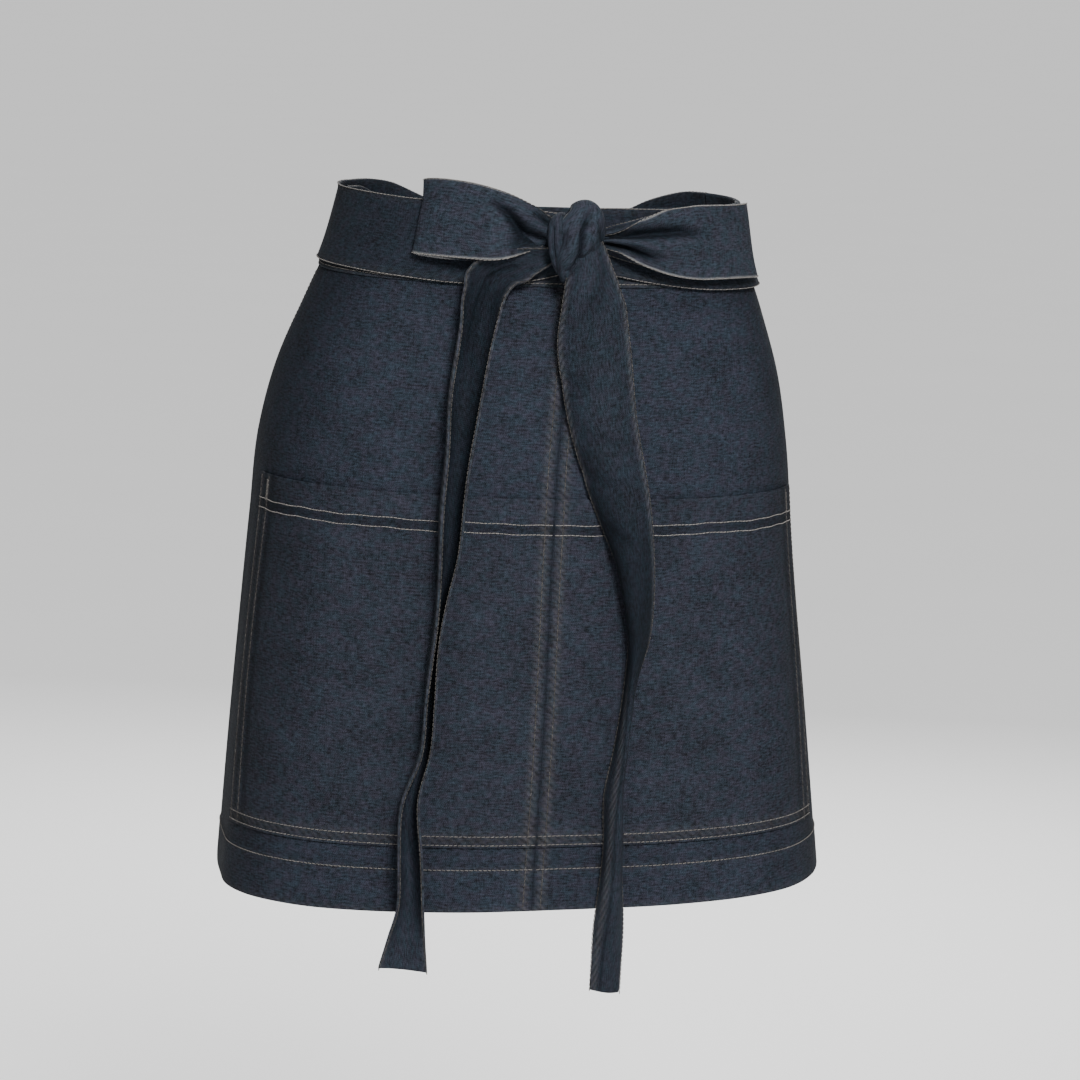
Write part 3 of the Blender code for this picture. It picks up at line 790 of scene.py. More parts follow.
def fell(side_turn, down, cloth):
    """Raised band of the felled centre seam, shared by the skirt and the pocket over it."""
    across = np.abs(side_turn) * degree_length(side_turn, down)
    return cloth.fold * (1 - ease(across, *FELL_REACH)) * ease(down, 0.125, 0.15)


def near(distance, place=0.0, width=0.0017):
    """Mark that is 1 at a distance from an edge and fades on both sides."""
    return np.exp(-(((distance - place) / width) ** 2))


def skirt_faces(side_turn, down, cloth):
    """Stand-off of the inner and the outer face of the skirt."""
    inner = SKIRT_LAYER[0] + soft_waves(side_turn, down, cloth.ripple)
    open_edge = (OPEN_TURN - np.abs(side_turn)) * degree_length(side_turn, down)
    hem = ease((1 - down) * LENGTH, SKIRT_HEM + 0.0012, SKIRT_HEM - 0.0006)
    side_hem = 1 - ease(open_edge, SIDE_HEM, SIDE_HEM + 0.0016)
    outer = inner + CLOTH + fell(side_turn, down, cloth)
    return inner, outer + cloth.fold * np.maximum(hem, side_hem)


def pocket_edge(side, down):
    """Turn of the pocket's side edge from the centre seam."""
    left, right = read(POCKET_SIDES, down)
    return left if side < 0 else right


def pocket_faces(side_turn, down, cloth):
    """Stand-off of the inner and the outer face of the pocket."""
    side = np.where(np.asarray(side_turn) < 0, -1, 1).flat[0]
    length = degree_length(side_turn, down)
    outer_edge = (pocket_edge(side, down) - np.abs(side_turn)) * length
    from_seam = np.abs(side_turn) * length
    from_top = (down - POCKET_TOP) * LENGTH
    from_bottom = (POCKET_BOTTOM - down) * LENGTH
    slack = ease(outer_edge, 0.012, 0.045) * ease(from_seam, 0.006, 0.035) * ease(from_bottom, 0.01, 0.04)
    swell = 0.0009 * slack * (1 + 0.5 * np.sin(34 * down + 0.09 * side_turn))
    inner = POCKET_LAYER[0] + soft_waves(side_turn, down, cloth.ripple)
    inner = inner + fell(side_turn, down, cloth) + swell
    mouth = ease(from_top, POCKET_HEM + 0.0008, POCKET_HEM - 0.0008)
    hems = [mouth, 1 - ease(outer_edge, 0.0130, 0.0146), 1 - ease(from_bottom, 0.0086, 0.0100)]
    return inner, inner + CLOTH + cloth.fold * np.maximum.reduce(hems)


def row_on_apron(side_turn, down, faces, cloth, slant, closeness=1.0, tone=HEM_TONE):
    """A row for stitches on the outer face of the skirt or the pocket."""
    side_turn, down = np.broadcast_arrays(np.asarray(side_turn, float), np.asarray(down, float))
    outer = faces(side_turn, down, cloth)[1]
    line = on_apron(side_turn, down, outer)
    return line, on_apron(side_turn, down, outer + 0.001) - line, slant, closeness, tone


def finish_sheet(thing, node):
    """Hang a sheet of cloth under the root and hide its solid."""
    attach(thing, "root")
    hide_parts(node)


def sheet_on_apron(name, place, faces, edge, marks, finish, reverse=0.0):
    """Close the two faces of a sheet, thinned to a round edge and grooved at the centre seam."""
    turn, down = place
    inner, outer = faces
    side = np.sign(turn[0, 0])
    from_seam = (np.abs(turn) - SEAM_TURN) * degree_length(turn, down)
    outer = outer - GROOVE_DEPTH * near(from_seam, 0.0, GROOVE_WIDTH)
    middle = (inner + outer) / 2
    half = (outer - inner) / 2 * rounded(edge)
    upper = on_apron(turn, down, middle + half)
    run = lengths_along(upper, 1)
    flat = np.stack([side * run, -down * LENGTH], axis=-1)
    lower = on_apron(turn, down, middle - half)
    return close_sheet(name, lower, upper, flat, marks, finish, reverse), run[:, -1]


def seam_row(side, start, stop, faces, cloth):
    """The row of stitches beside the centre seam, between two shares of the length."""
    slant, closeness, tone = SEAM_STITCH
    line = np.linspace(start, stop, 160)
    place = side * (SEAM_TURN + FELL_ROW / degree_length(side * 1.0, line))
    return row_on_apron(place, line, faces, cloth, side * slant, closeness, tone)


def skirt(name, side, cloth):
    """One half of the skirt with its hem, its fell and its stitching."""
    top = (BAND_MIDDLE + CLOTH + GAP) / LENGTH
    down = (top + (1 - top) * grid_lines(LENGTH * (1 - top), cloth.grid))[:, None]
    turn = (SEAM_TURN + (OPEN_TURN - SEAM_TURN) * grid_lines(SKIRT_SPREAD, cloth.grid))[None, :]
    turn, down = np.broadcast_arrays(side * turn, down)
    length = degree_length(turn, down)
    from_seam = (np.abs(turn) - SEAM_TURN) * length
    from_open = (OPEN_TURN - np.abs(turn)) * length
    from_hem = (1 - down) * LENGTH
    edge = np.minimum.reduce([from_open, from_hem, (down - top) * LENGTH])
    marks = {
        "seam": near(from_seam, FELL_ROW, 0.0028) + 0.4 * near(from_hem, SKIRT_HEM)
        + 0.5 * near(from_hem, 0.0, 0.0030) + 0.6 * near(from_open, 0.011),
        "worn": 0.20 * near(from_hem, 0.0, 0.0009),
        # Painted shade in the centre seam's groove, along a line above the hem and towards the sides
        "painted_shade": 0.5 * near(from_seam, 0.0, 0.0016) + 0.25 * near(from_hem, SKIRT_HEM + 0.0040, 0.0016)
        + SIDE_PAINTED_SHADE * ease(np.abs(turn), *SIDE_SHADE),
    }
    finish = denim("Skirt denim", cloth, cloth.skirt_colour, wear=0.8)
    faces = skirt_faces(turn, down, cloth)
    thing, widths = sheet_on_apron("cloth_" + name, (turn, down), faces, edge, marks, finish, 1.0)

    rows = []
    for start, stop in ((SEAM_TOP, POCKET_TOP - 0.002), (POCKET_BOTTOM + 0.003, 0.997)):
        rows.append(seam_row(side, start, stop, skirt_faces, cloth))
    sweep = np.linspace(SEAM_TURN + 0.3, OPEN_TURN - 0.6, 240)
    rows.append(row_on_apron(side * sweep, 1 - SKIRT_HEM / LENGTH, skirt_faces, cloth, side * 6.0))
    line = np.linspace(SIDE_ROW_TOP, 0.996, 200)
    place = side * (OPEN_TURN - (SIDE_HEM - 0.0015) / degree_length(side * OPEN_TURN, line))
    rows.append(row_on_apron(place, line, skirt_faces, cloth, 6.0))
    drop = (1 - top) * LENGTH
    cut = (round(float(widths.max()), 3), round(drop, 3))
    return thing, sew("cloth_" + name, rows, cloth), cut, round(float(widths.mean()) * drop, 4)


def pocket(name, side, cloth):
    """One half of the patch pocket with its turned edges and its stitching."""
    height = (POCKET_BOTTOM - POCKET_TOP) * LENGTH
    down = (POCKET_TOP + (POCKET_BOTTOM - POCKET_TOP) * grid_lines(height, cloth.grid))[:, None]
    outer_turn = pocket_edge(side, down)
    turn = SEAM_TURN + (outer_turn - SEAM_TURN) * grid_lines(POCKET_SPREAD, cloth.grid)[None, :]
    turn, down = np.broadcast_arrays(side * turn, down)
    length = degree_length(turn, down)
    from_seam = (np.abs(turn) - SEAM_TURN) * length
    from_side = (pocket_edge(side, down) - np.abs(turn)) * length
    from_top = (down - POCKET_TOP) * LENGTH
    from_bottom = (POCKET_BOTTOM - down) * LENGTH
    edge = np.minimum.reduce([from_side, from_top, from_bottom])
    marks = {
        "seam": near(from_seam, FELL_ROW, 0.0028) + 1.1 * near(from_side, EDGE_ROW, 0.0026)
        + 0.7 * near(from_side, EDGE_ROW + DOUBLE_ROW, 0.0022) + 0.60 * near(from_bottom, 0.0058, 0.0044),
        "worn": 0.25 * near(from_top, 0.0, 0.0008) + 0.20 * near(from_bottom, 0.0, 0.0008),
        # Painted shade in the centre seam's groove, between the rows of stitches and towards the sides
        "painted_shade": 0.5 * near(from_seam, 0.0, 0.0016) + 0.55 * near(from_top, POCKET_HEM - 0.0051, 0.0026)
        + 0.45 * near(from_bottom, 0.0046, 0.0022) + 0.35 * near(from_side, 0.0075, 0.0022)
        + 0.45 * near(from_side, 0.0180, 0.0030) + SIDE_PAINTED_SHADE * ease(np.abs(turn), *SIDE_SHADE),
    }
    finish = denim("Pocket denim", cloth, cloth.pocket_colour, wear=0.8)
    faces = pocket_faces(turn, down, cloth)
    thing = sheet_on_apron("cloth_" + name, (turn, down), faces, edge, marks, finish)[0]

    start, stop = POCKET_TOP + 0.003, POCKET_BOTTOM - 0.002
    rows = [seam_row(side, start, stop, pocket_faces, cloth)]
    line = np.linspace(start, stop, 160)
    for inset in (EDGE_ROW, EDGE_ROW + DOUBLE_ROW):
        bound = pocket_edge(side, line)
        place = side * (bound - inset / degree_length(side * bound, line))
        rows.append(row_on_apron(place, line, pocket_faces, cloth, side * 7.0, 1.0, 0.0))
    for inset in (POCKET_HEM - 0.0082, POCKET_HEM - 0.0020):
        at = POCKET_TOP + inset / LENGTH
        sweep = np.linspace(SEAM_TURN + 0.2, pocket_edge(side, at) - 0.3, 200)
        at = at + 0.0006 * np.sin(0.31 * sweep) + 0.0004 * np.sin(0.83 * sweep + inset * 900)
        rows.append(row_on_apron(side * sweep, at, pocket_faces, cloth, 3.0, 1.12, 0.72))
    for inset in (0.0018, 0.0074):
        at = POCKET_BOTTOM - inset / LENGTH
        sweep = np.linspace(SEAM_TURN + 0.2, pocket_edge(side, at) - 0.5, 200)
        rows.append(row_on_apron(side * sweep, at, pocket_faces, cloth, 5.0))
    tack = np.linspace(POCKET_TOP + 0.006, POCKET_TOP + 0.038, 40)
    bound = pocket_edge(side, tack)
    place = side * (bound - (EDGE_ROW + DOUBLE_ROW - 0.001) / degree_length(side * bound, tack))
    rows.append(row_on_apron(place, tack, pocket_faces, cloth, 78.0, 3.4, 0.4))
    return thing, sew("cloth_" + name, rows, cloth)


def band(name, cloth):
    """The waistband, folded over the top edge of the skirt, with its lower row of stitches."""
    low = TIE_WIDTH / LENGTH
    fold = BAND_MIDDLE / LENGTH
    wall = fold + (low - fold) * grid_lines(TIE_WIDTH, cloth.grid)
    bends = np.radians([22.5, 45, 67.5, 90, 112.5, 135, 157.5])
    round_top = [(-math.cos(bend), -math.sin(bend)) for bend in bends]
    ways = [(-1.0, 0.0)] * len(wall) + round_top + [(1.0, 0.0)] * len(wall)
    base = np.concatenate([wall[::-1], np.full(len(bends), fold), wall])[:, None]
    ways = np.array(ways)[:, None, :]
    turn = (-OPEN_TURN + 2 * OPEN_TURN * grid_lines(BAND_SPREAD, cloth.grid))[None, :]
    edge = np.minimum((low - base) * LENGTH, (OPEN_TURN - np.abs(turn)) * degree_length(turn, base))
    half = CLOTH / 2 * rounded(edge)
    faces = []
    for reach in (BAND_MIDDLE - CLOTH / 2 - half, BAND_MIDDLE - CLOTH / 2 + half):
        down = base + reach * ways[..., 1] / LENGTH
        faces.append(on_apron(turn, down, BAND_MIDDLE + reach * ways[..., 0]))
    flat = np.stack([lengths_along(faces[1], 1), lengths_along(faces[1], 0)], axis=-1)
    outside = ways[..., 0] > 0
    marks = {"seam": 0.6 * near(edge, EDGE_ROW) * outside, "worn": 0.3 * near(edge, 0.0, 0.0009)}
    finish = denim("Waistband denim", cloth, cloth.band_colour)
    thing = close_sheet("cloth_" + name, faces[0], faces[1], flat, marks, finish)
    sweep = np.linspace(-OPEN_TURN + 0.8, OPEN_TURN - 0.8, 260)
    line = on_apron(sweep, low - EDGE_ROW / LENGTH, POCKET_LAYER[1])
    up = on_apron(sweep, low - EDGE_ROW / LENGTH, POCKET_LAYER[1] + 0.001) - line
    return thing, sew("cloth_" + name, [(line, up, 5.0, 1.0, 0.4)], cloth)


def edge_rows(middle, normal, half_width, tones):
    """Rows for stitches close to both long edges of a strip, each edge with its own tone."""
    share = EDGE_ROW * STRIP_ROW / np.mean(half_width)
    rows = []
    count = middle.shape[0]
    for end in (0, 1):
        place = share / 2 * (count - 1) if end == 0 else (1 - share / 2) * (count - 1)
        low = int(place)
        part = place - low
        line = middle[low] * (1 - part) + middle[low + 1] * part
        up = normal[low] * (1 - part) + normal[low + 1] * part
        rows.append((line + up * TIE_CLOTH / 2, up, 4.0, 1.0, tones[end]))
    return rows


def tie_denim(name, cloth):
    """The denim of the ties under a piece's own name."""
    return denim(name, cloth, cloth.tie_colour, roping=0.7)


def lay_strip(name, label, strip, lift, marks, half_width, tones, cloth):
    """A strip of the ties with stitches along both edges, and its length to the millimetre."""
    middle, normal, run = strip[:3]
    finish = tie_denim(label, cloth)
    thing = strip_of_cloth("cloth_" + name, strip, lift, TIE_WIDTH / 2, marks, finish)
    lifted = middle + normal * lift[..., None]
    up = face_out(lifted, FORWARD) if np.any(lift) else normal
    sewing = sew("cloth_" + name, edge_rows(lifted, up, half_width, tones), cloth)
    return thing, sewing, round(float(run[len(run) // 2, -1]), 3)


def waist_tie(name, side, table, cloth):
    """The part of a tie that goes round the waist, gathered at the back and at the knot."""
    keys = np.linspace(table[0][0], table[-1][0], round(table[-1][0] - table[0][0]))
    high, half, over = read(table, keys)
    share = -1 + 2 * grid_lines(TIE_WIDTH, cloth.grid)[:, None]
    height = (high + half * share) * TIE_WIDTH
    over = ease(over, 0, 1)
    out = BAND_MIDDLE + (sum(WRAP_LAYER) / 2 - BAND_MIDDLE) * over
    gather = np.clip(1 - half / 0.5, 0, 1)
    slow = 0.6 * np.sin(np.radians(keys) * 3.0)
    folds = 0.0030 * gather * (0.5 + 0.5 * np.cos(2 * math.pi * (1.5 * share + slow)))
    soft = 0.00025 * (1 + np.sin(np.radians(keys) * 17 + 2.0 * share)) * (1 - share**2)
    middle = skin(side * keys, height, out + folds + soft)
    normal = skin(side * keys, height, out + folds + soft + 0.001) - middle
    normal /= np.linalg.norm(normal, axis=-1, keepdims=True)
    run = lengths_along(middle, 1)
    from_edge = (1 - np.abs(share)) * half * TIE_WIDTH
    edge = np.minimum.reduce([from_edge, run, run[:, -1:] - run])
    # The ties round the waist get an even painted shade
    marks = {"seam": 0.5 * near(edge, EDGE_ROW), "worn": 0.55 * near(edge, 0.0, 0.0012), "painted_shade": 0.60}
    strip = (middle, normal, run, share, from_edge)
    return lay_strip(name, "Tie denim", strip, 0 * run, marks, half * TIE_WIDTH, (0.50, 0.50), cloth)


def knot_middle():
    """Centre of the knot, resting on the two ties behind it."""
    out = WRAP_LAYER[1] + GAP + KNOT_HALF[1] * TIE_WIDTH
    return skin(KNOT_TURN, KNOT_HEIGHT * TIE_WIDTH, out)


def tilted(way):
    """The parts of a direction to the right and up in the knot's own tilt."""
    tilt = math.radians(KNOT_TILT)
    across = way[..., 0] * math.cos(tilt) - way[..., 2] * math.sin(tilt)
    upward = way[..., 0] * math.sin(tilt) + way[..., 2] * math.cos(tilt)
    return across, upward


def knot_reach(way):
    """Distance from the knot's centre to its surface along unit directions."""
    x, z = tilted(way)
    across, outward, upward = [half * TIE_WIDTH for half in KNOT_HALF]
    return 1 / np.sqrt((x / across) ** 2 + (way[..., 1] / outward) ** 2 + (z / upward) ** 2)


def seat_on_knot(middle, first=True, last=False):
    """Ease the ends of a strip along their lines to the knot so that they stop on it."""
    run = lengths_along(middle, 1)
    moved = middle.copy()
    for end, wanted, left in ((0, first, run), (-1, last, run[:, -1:] - run)):
        if not wanted:
            continue
        offset = middle[:, end] - knot_middle()
        way = offset / np.linalg.norm(offset, axis=-1, keepdims=True)
        seat = knot_middle() + way * (KNOT_CORE * knot_reach(way) + SEAT_GAP)[..., None]
        moved += (seat - middle[:, end])[:, None, :] * (1 - ease(left, 0, SEAT_REACH))[..., None]
    return moved


def loop(name, table, folds, cloth):
    """One loop of the bow: out from the knot, round its fold and back behind itself."""
    turn, high, half, out, rise = sampled(table, LOOP_LINES)
    share = -1 + 2 * grid_lines(TIE_WIDTH, cloth.grid * BOW_STEP)[:, None]
    height = (high + half * share) * TIE_WIDTH
    stand = (out + rise * np.cos(share * math.pi / 2)) * TIE_WIDTH
    middle = seat_on_knot(skin(turn + 0 * share, height, stand), True, True)
    normal = face_out(middle, FORWARD)
    run = lengths_along(middle, 1)
    along = run[len(run) // 2] / TIE_WIDTH
    lift = fold_heights(along, half * share, folds)
    far = along[-1] - along
    waves = np.cos(2 * math.pi * (1.25 * share + 0.1)) * np.clip(1 - half / 0.5, 0, 1)
    lift = lift + 0.0016 * waves * (1 - ease(far, 0.3, 1.4)) * ease(far, 0.0, 0.1)
    lift = lift * ease(along, 0.0, 0.10)
    lift = lift + 0.0004 * np.sin(5.1 * along + 2.2 * share) * ease(along, 0.3, 0.8)
    from_edge = (1 - np.abs(share)) * half * TIE_WIDTH
    wide = np.where(share < 0, 0.0018, 0.0013)
    # Painted shade: the pale worn edge and its stitches are kept faint on the back layer and near the
    # knot, where the edge rolls into shadow
    back = 1 - 0.6 * ease(along, 0.62 * along[-1], 0.70 * along[-1])
    low = back * (0.25 + 0.75 * ease(along, 0.05, 0.50))
    pale = back * ease(along, 0.15, 0.75) * ease(far, 0.10, 0.90)
    # Painted shade in the deep folds and where the strip is drawn into the knot
    deep = np.clip(-fold_heights(along, half * share, folds) / 0.0045, 0, 1) ** 1.4
    neck_shade = (1 - ease(along, 0.0, 0.55)) * near(share, 0.75, 0.5)
    marks = {
        "seam": 0.3 * near(from_edge, EDGE_ROW),
        "worn": np.where(share < 0, low, pale) * near(from_edge, 0.0, wide),
        "painted_shade": np.clip(0.9 * deep + 0.7 * neck_shade, 0, 0.95),
    }
    strip = (middle, normal, run, share, from_edge)
    tones = (0.6 * low, 0.6 * pale)
    return lay_strip(name, "Bow denim", strip, lift, marks, half * TIE_WIDTH, tones, cloth)


def tail(name, table, folds, shade, seated, cloth):
    """One hanging end, curled along its length, from the knot to past the hem."""
    high, across, out, lean, turn, curl, pinch = sampled(table, TAIL_LINES)
    share = -1 + 2 * grid_lines(TIE_WIDTH, cloth.grid * BOW_STEP)[:, None]
    lean, turn, bend = np.radians(lean), np.radians(turn), np.radians(curl) / 2
    radius = TIE_WIDTH / 2 / bend
    sideways = radius * np.sin(bend * share) * pinch
    forward = radius * (1 - np.cos(bend * share))
    flat_way = sideways * np.cos(turn) - forward * np.sin(turn)
    ahead = sideways * np.sin(turn) + forward * np.cos(turn)
    height = high * TIE_WIDTH
    place = across * TIE_WIDTH
    depth = front_of(place, height) - out * TIE_WIDTH
    points = [place + flat_way * np.cos(lean), depth - ahead, height + flat_way * np.sin(lean)]
    middle = seat_on_knot(np.stack(points, axis=-1), first=seated)
    normal = face_out(middle, FORWARD)
    run = lengths_along(middle, 1)
    along = run[len(run) // 2] / TIE_WIDTH
    lift = fold_heights(along, 0.5 * share, folds) * ease(along, 0.0, 0.10)
    lift = lift + 0.0005 * np.sin(3.3 * along + 2.6 * share) * ease(along, 0.4, 1.0)
    from_edge = (1 - np.abs(share)) * TIE_WIDTH / 2 + 0 * run
    # The pale edges fade down the tail: painted shade where it turns into shadow
    fading = 1 - 0.7 * ease(along, 2.0, 4.5)
    # Where the strip is rolled over low down, its roped edge shows on the front beside a painted shadow
    # line
    opened = ease(along, 8.2, 9.4)
    rolled = ease(along, 5.4, 6.2) * np.clip(-curl / 30, 0, 1)
    turned = near(share, -0.38 - 0.34 * opened, 0.17) * rolled
    shaded = np.interp(along, *zip(*shade)) + 0.5 * near(share, -0.10 - 0.24 * opened, 0.08) * rolled
    # Painted shade in the pressed folds
    fold_shade = 0.8 * np.clip(-lift / 0.006, 0, 1)
    marks = {
        "seam": (0.9 + 0.9 * fading) * near(from_edge, 0.0016, 0.0020) + 1.6 * turned,
        "worn": 0.35 * fading * near(from_edge, 0.0, 0.0010),
        "painted_shade": shaded * (1 - near(from_edge, 0.0010, 0.0026)) * (1 - turned) + fold_shade,
    }
    strip = (middle, normal, run, share, from_edge)
    # The tails' stitches are given a dark tone: painted shade
    return lay_strip(name, "Tail denim", strip, lift, marks, TIE_WIDTH / 2, (0.02, 0.02), cloth)


def knot(name, cloth):
    """The knot: crossed layers pulled tight, with the folds between them pressed in."""
    segments, rings = KNOT_GRID
    ring = np.radians(np.linspace(-90, 90, rings + 1)[1:-1])[:, None]
    turn = np.radians(np.arange(segments) * 360 / segments)[None, :]
    level = np.cos(ring)
    ways = np.stack([level * np.sin(turn), -level * np.cos(turn), np.sin(ring) + 0 * turn], axis=-1)
    ways = np.concatenate([[[0.0, 0.0, -1.0]], ways.reshape(-1, 3), [[0.0, 0.0, 1.0]]])
    reach = knot_reach(ways)
    x, z = tilted(ways * reach[:, None])
    right = x / (KNOT_HALF[0] * TIE_WIDTH)
    up = z / (KNOT_HALF[2] * TIE_WIDTH)
    front = ease(-ways[:, 1], 0.0, 0.35)
    reach = KNOT_CORE * reach + front * fold_heights(right, up, KNOT_FOLDS)
    points = knot_middle() + ways * reach[:, None]
    faces = []
    last = len(points) - 1
    top = 1 + (rings - 2) * segments
    for step in range(segments):
        after = (step + 1) % segments
        faces.append((0, 1 + after, 1 + step))
        faces.append((last, top + step, top + after))
        for low in range(1, top, segments):
            high = low + segments
            faces.append((low + step, low + after, high + after, high + step))
    thing = new_mesh("cloth_" + name, points, faces, tie_denim("Bow denim", cloth))
    layout = thing.data.uv_layers.new(name="Flat")
    flat = np.stack([x - z * 0.4, z + x * 0.4], axis=-1)
    order = np.concatenate([np.array(face) for face in faces])
    layout.data.foreach_set("uv", flat[order].astype(np.float32).ravel())
    # Painted shade over the knot, darker on its lower part and its right side
    mark_points(thing, "painted_shade", 0.35 + 0.4 * ease(-up, 0.2, 0.9) + 0.5 * ease(right, 0.5, 0.9))
    return thing


def knot_band(name, table, folds, cloth):
    """A band of cloth drawn tight over the knot's core, worn pale along its left edge."""
    right, forward, up, half, crown = sampled(table, TAIL_LINES) * TIE_WIDTH
    line = np.stack([right, -forward, up], axis=-1)
    way = np.gradient(line, axis=0)
    side = np.cross(line, way)
    side /= np.linalg.norm(side, axis=-1, keepdims=True)
    if np.sum(side[:, 0]) < 0:
        side = -side
    away = np.cross(way, side)
    away /= np.linalg.norm(away, axis=-1, keepdims=True)
    if np.sum(away * line) < 0:
        away = -away
    share = -1 + 2 * grid_lines(TIE_WIDTH * 0.52, cloth.grid * KNOT_STEP)[:, None]
    run = lengths_along(line[None], 1)[0] / TIE_WIDTH
    stand = crown * (1 - share**2) ** 0.7 - (half * share) ** 2 / (0.70 * TIE_WIDTH) - 0.0008 * share**4
    stand = stand + fold_heights(run, half / TIE_WIDTH * share, folds)
    middle = knot_middle() + line + side * (half * share)[..., None] + away * stand[..., None]
    normal = np.cross(np.gradient(middle, axis=1), np.gradient(middle, axis=0))
    normal /= np.linalg.norm(normal, axis=-1, keepdims=True)
    if np.sum(normal * away) < 0:
        normal = -normal
    length = lengths_along(middle, 1)
    pale = near((1 + share) * half, 0.0, 0.0012)
    # Painted shade in the band's folds and along its right edge
    deep = np.clip(-fold_heights(run, half / TIE_WIDTH * share, folds) / 0.0030, 0, 1)
    marks = {"worn": 0.7 * pale, "painted_shade": 0.85 * deep + 0.55 * near(share, 1.0, 0.35)}
    strip = (middle, normal, length, share, (1 - np.abs(share)) * half)
    finish = tie_denim("Bow denim", cloth)
    thing = strip_of_cloth("cloth_" + name, strip, 0 * length, TIE_WIDTH * 0.3, marks, finish)
    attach(thing, "root")


# Settings


def fine_setting(name, description, default, low, high):
    """A small size of the cloth or the sewing, in metres."""
    return bpy.props.FloatProperty(
        name=name, description=description, default=default, min=low, max=high, precision=5, unit="LENGTH"
    )


def colour_setting(name, description, default):
    """A colour."""
    return bpy.props.FloatVectorProperty(
        name=name, description=description, default=default, min=0.0, max=1.0, subtype="COLOR"
    )


def power_setting(name, description, default):
    """The power of a lamp."""
    return bpy.props.FloatProperty(
        name=name, description=description, default=default, min=0.0, max=1000.0, unit="POWER"
    )


def angle_setting(name, description, degrees):
    """An angle, whose default is given in degrees."""
    return bpy.props.FloatProperty(
        name=name, description=description, default=math.radians(degrees), subtype="ANGLE"
    )


class ApronCloth(bpy.types.PropertyGroup):
    """Sizes and colours of the cloth and the sewing."""

    grid: fine_setting("Grid Step", "Distance between the grid lines of the cloth", 0.0022, 0.001, 0.01)
    ripple: fine_setting(
        "Waves", "Height of the soft waves in the skirt and the pocket",
        0.0010, 0.0, 0.003,
    )
    fold: fine_setting(
        "Turned Edge", "Extra thickness where the cloth is turned under or felled",
        0.0005, 0.0, 0.0012,
    )
    stitch_length: fine_setting("Stitch Length", "Visible length of one stitch", 0.0030, 0.001, 0.008)
    stitch_pitch: fine_setting(
        "Stitch Pitch", "Distance from one stitch to the next",
        0.0029, 0.0015, 0.010,
    )
    thread: fine_setting("Thread", "Thickness of the sewing thread", 0.00060, 0.0002, 0.002)
    skirt_colour: colour_setting("Skirt", "Middle colour of the skirt's denim", (0.0120, 0.0144, 0.0212))
    pocket_colour: colour_setting(
        "Pocket", "Middle colour of the pocket's denim",
        (0.0122, 0.0141, 0.0203),
    )
    band_colour: colour_setting(
        "Waistband", "Middle colour of the waistband's denim",
        (0.0100, 0.0125, 0.0170),
    )
    tie_colour: colour_setting(
        "Ties", "Middle colour of the ties, the bow and the tails",
        (0.0140, 0.0170, 0.0241),
    )
    edge_colour: colour_setting(
        "Pale Edge", "Colour of the cloth's edges where the undyed yarn shows",
        (0.135, 0.136, 0.139),
    )
    seam_colour: colour_setting(
        "Rubbed Seam", "Colour that rubbed seams and rolled edges fade to",
        (0.145, 0.128, 0.115),
    )
    reverse_colour: colour_setting(
        "Reverse", "Colour of the undyed yarn that shows on the inner side of the skirt",
        (0.118, 0.134, 0.156),
    )
    thread_colour: colour_setting("Thread Colour", "Colour of the sewing thread", (0.185, 0.172, 0.160))


class ApronStudio(bpy.types.PropertyGroup):
    """The floor, the lights and the camera."""

    floor_drop: bpy.props.FloatProperty(
        name="Floor Below Waist",
        description="Height of the waist above the floor",
        default=1.05,
        min=0.55,
        max=2.0,
        unit="LENGTH",
    )
    floor_colour: colour_setting("Floor", "Colour of the pale floor", (0.86, 0.86, 0.86))
    key_power: power_setting("Key Light", "Power of the light above and beside the camera", 136.0)
    fill_power: power_setting("Fill Light", "Power of the large light to the left of the camera", 2.0)
    back_power: power_setting(
        "Back Light", "Power of the large light behind the apron, which lights its open back",
        55.0,
    )
    room: bpy.props.FloatProperty(
        name="Room Light",
        description="Strength of the even light from all round",
        default=0.105,
        min=0.0,
        max=5.0,
    )
    ceiling: bpy.props.FloatProperty(
        name="Ceiling Light",
        description="Strength of the soft light straight from above, which mostly lights the floor",
        default=2.9,
        min=0.0,
        max=10.0,
    )
    azimuth: angle_setting("Azimuth", "Turn of the camera round the apron, below zero to its left", -7.0)
    elevation: angle_setting("Elevation", "Height of the camera above level, as an angle", 9.8)
    roll: angle_setting("Roll", "Turn of the camera about its own line of sight", 2.0)
    distance: bpy.props.FloatProperty(
        name="Distance",
        description="Distance from the camera to the middle of the picture",
        default=2.6,
        min=0.5,
        unit="LENGTH",
    )
    frame_width: bpy.props.FloatProperty(
        name="Picture Width",
        description="Width of what the camera takes in, at the middle of the picture",
        default=0.7096,
        min=0.1,
        unit="LENGTH",
    )


# Operators


class APRON_OT_skirt(bpy.types.Operator):
    """Build both halves of the skirt with their hems and stitching"""

    bl_idname = "apron.skirt"
    bl_label = "Skirt"

    def execute(self, context):
        cloth = context.scene.apron_cloth
        for name, side in (("skirt_panel_left", -1), ("skirt_panel_right", 1)):
            thing, sewing, flat, area = skirt(name, side, cloth)
            finish_sheet(thing, name)
        return {"FINISHED"}


class APRON_OT_pocket(bpy.types.Operator):
    """Build both halves of the patch pocket with their turned edges and stitching"""

    bl_idname = "apron.pocket"
    bl_label = "Pocket"

    def execute(self, context):
        cloth = context.scene.apron_cloth
        for name, side in (("pocket_left", -1), ("pocket_right", 1)):
            thing, sewing = pocket(name, side, cloth)
            finish_sheet(thing, name)
        return {"FINISHED"}


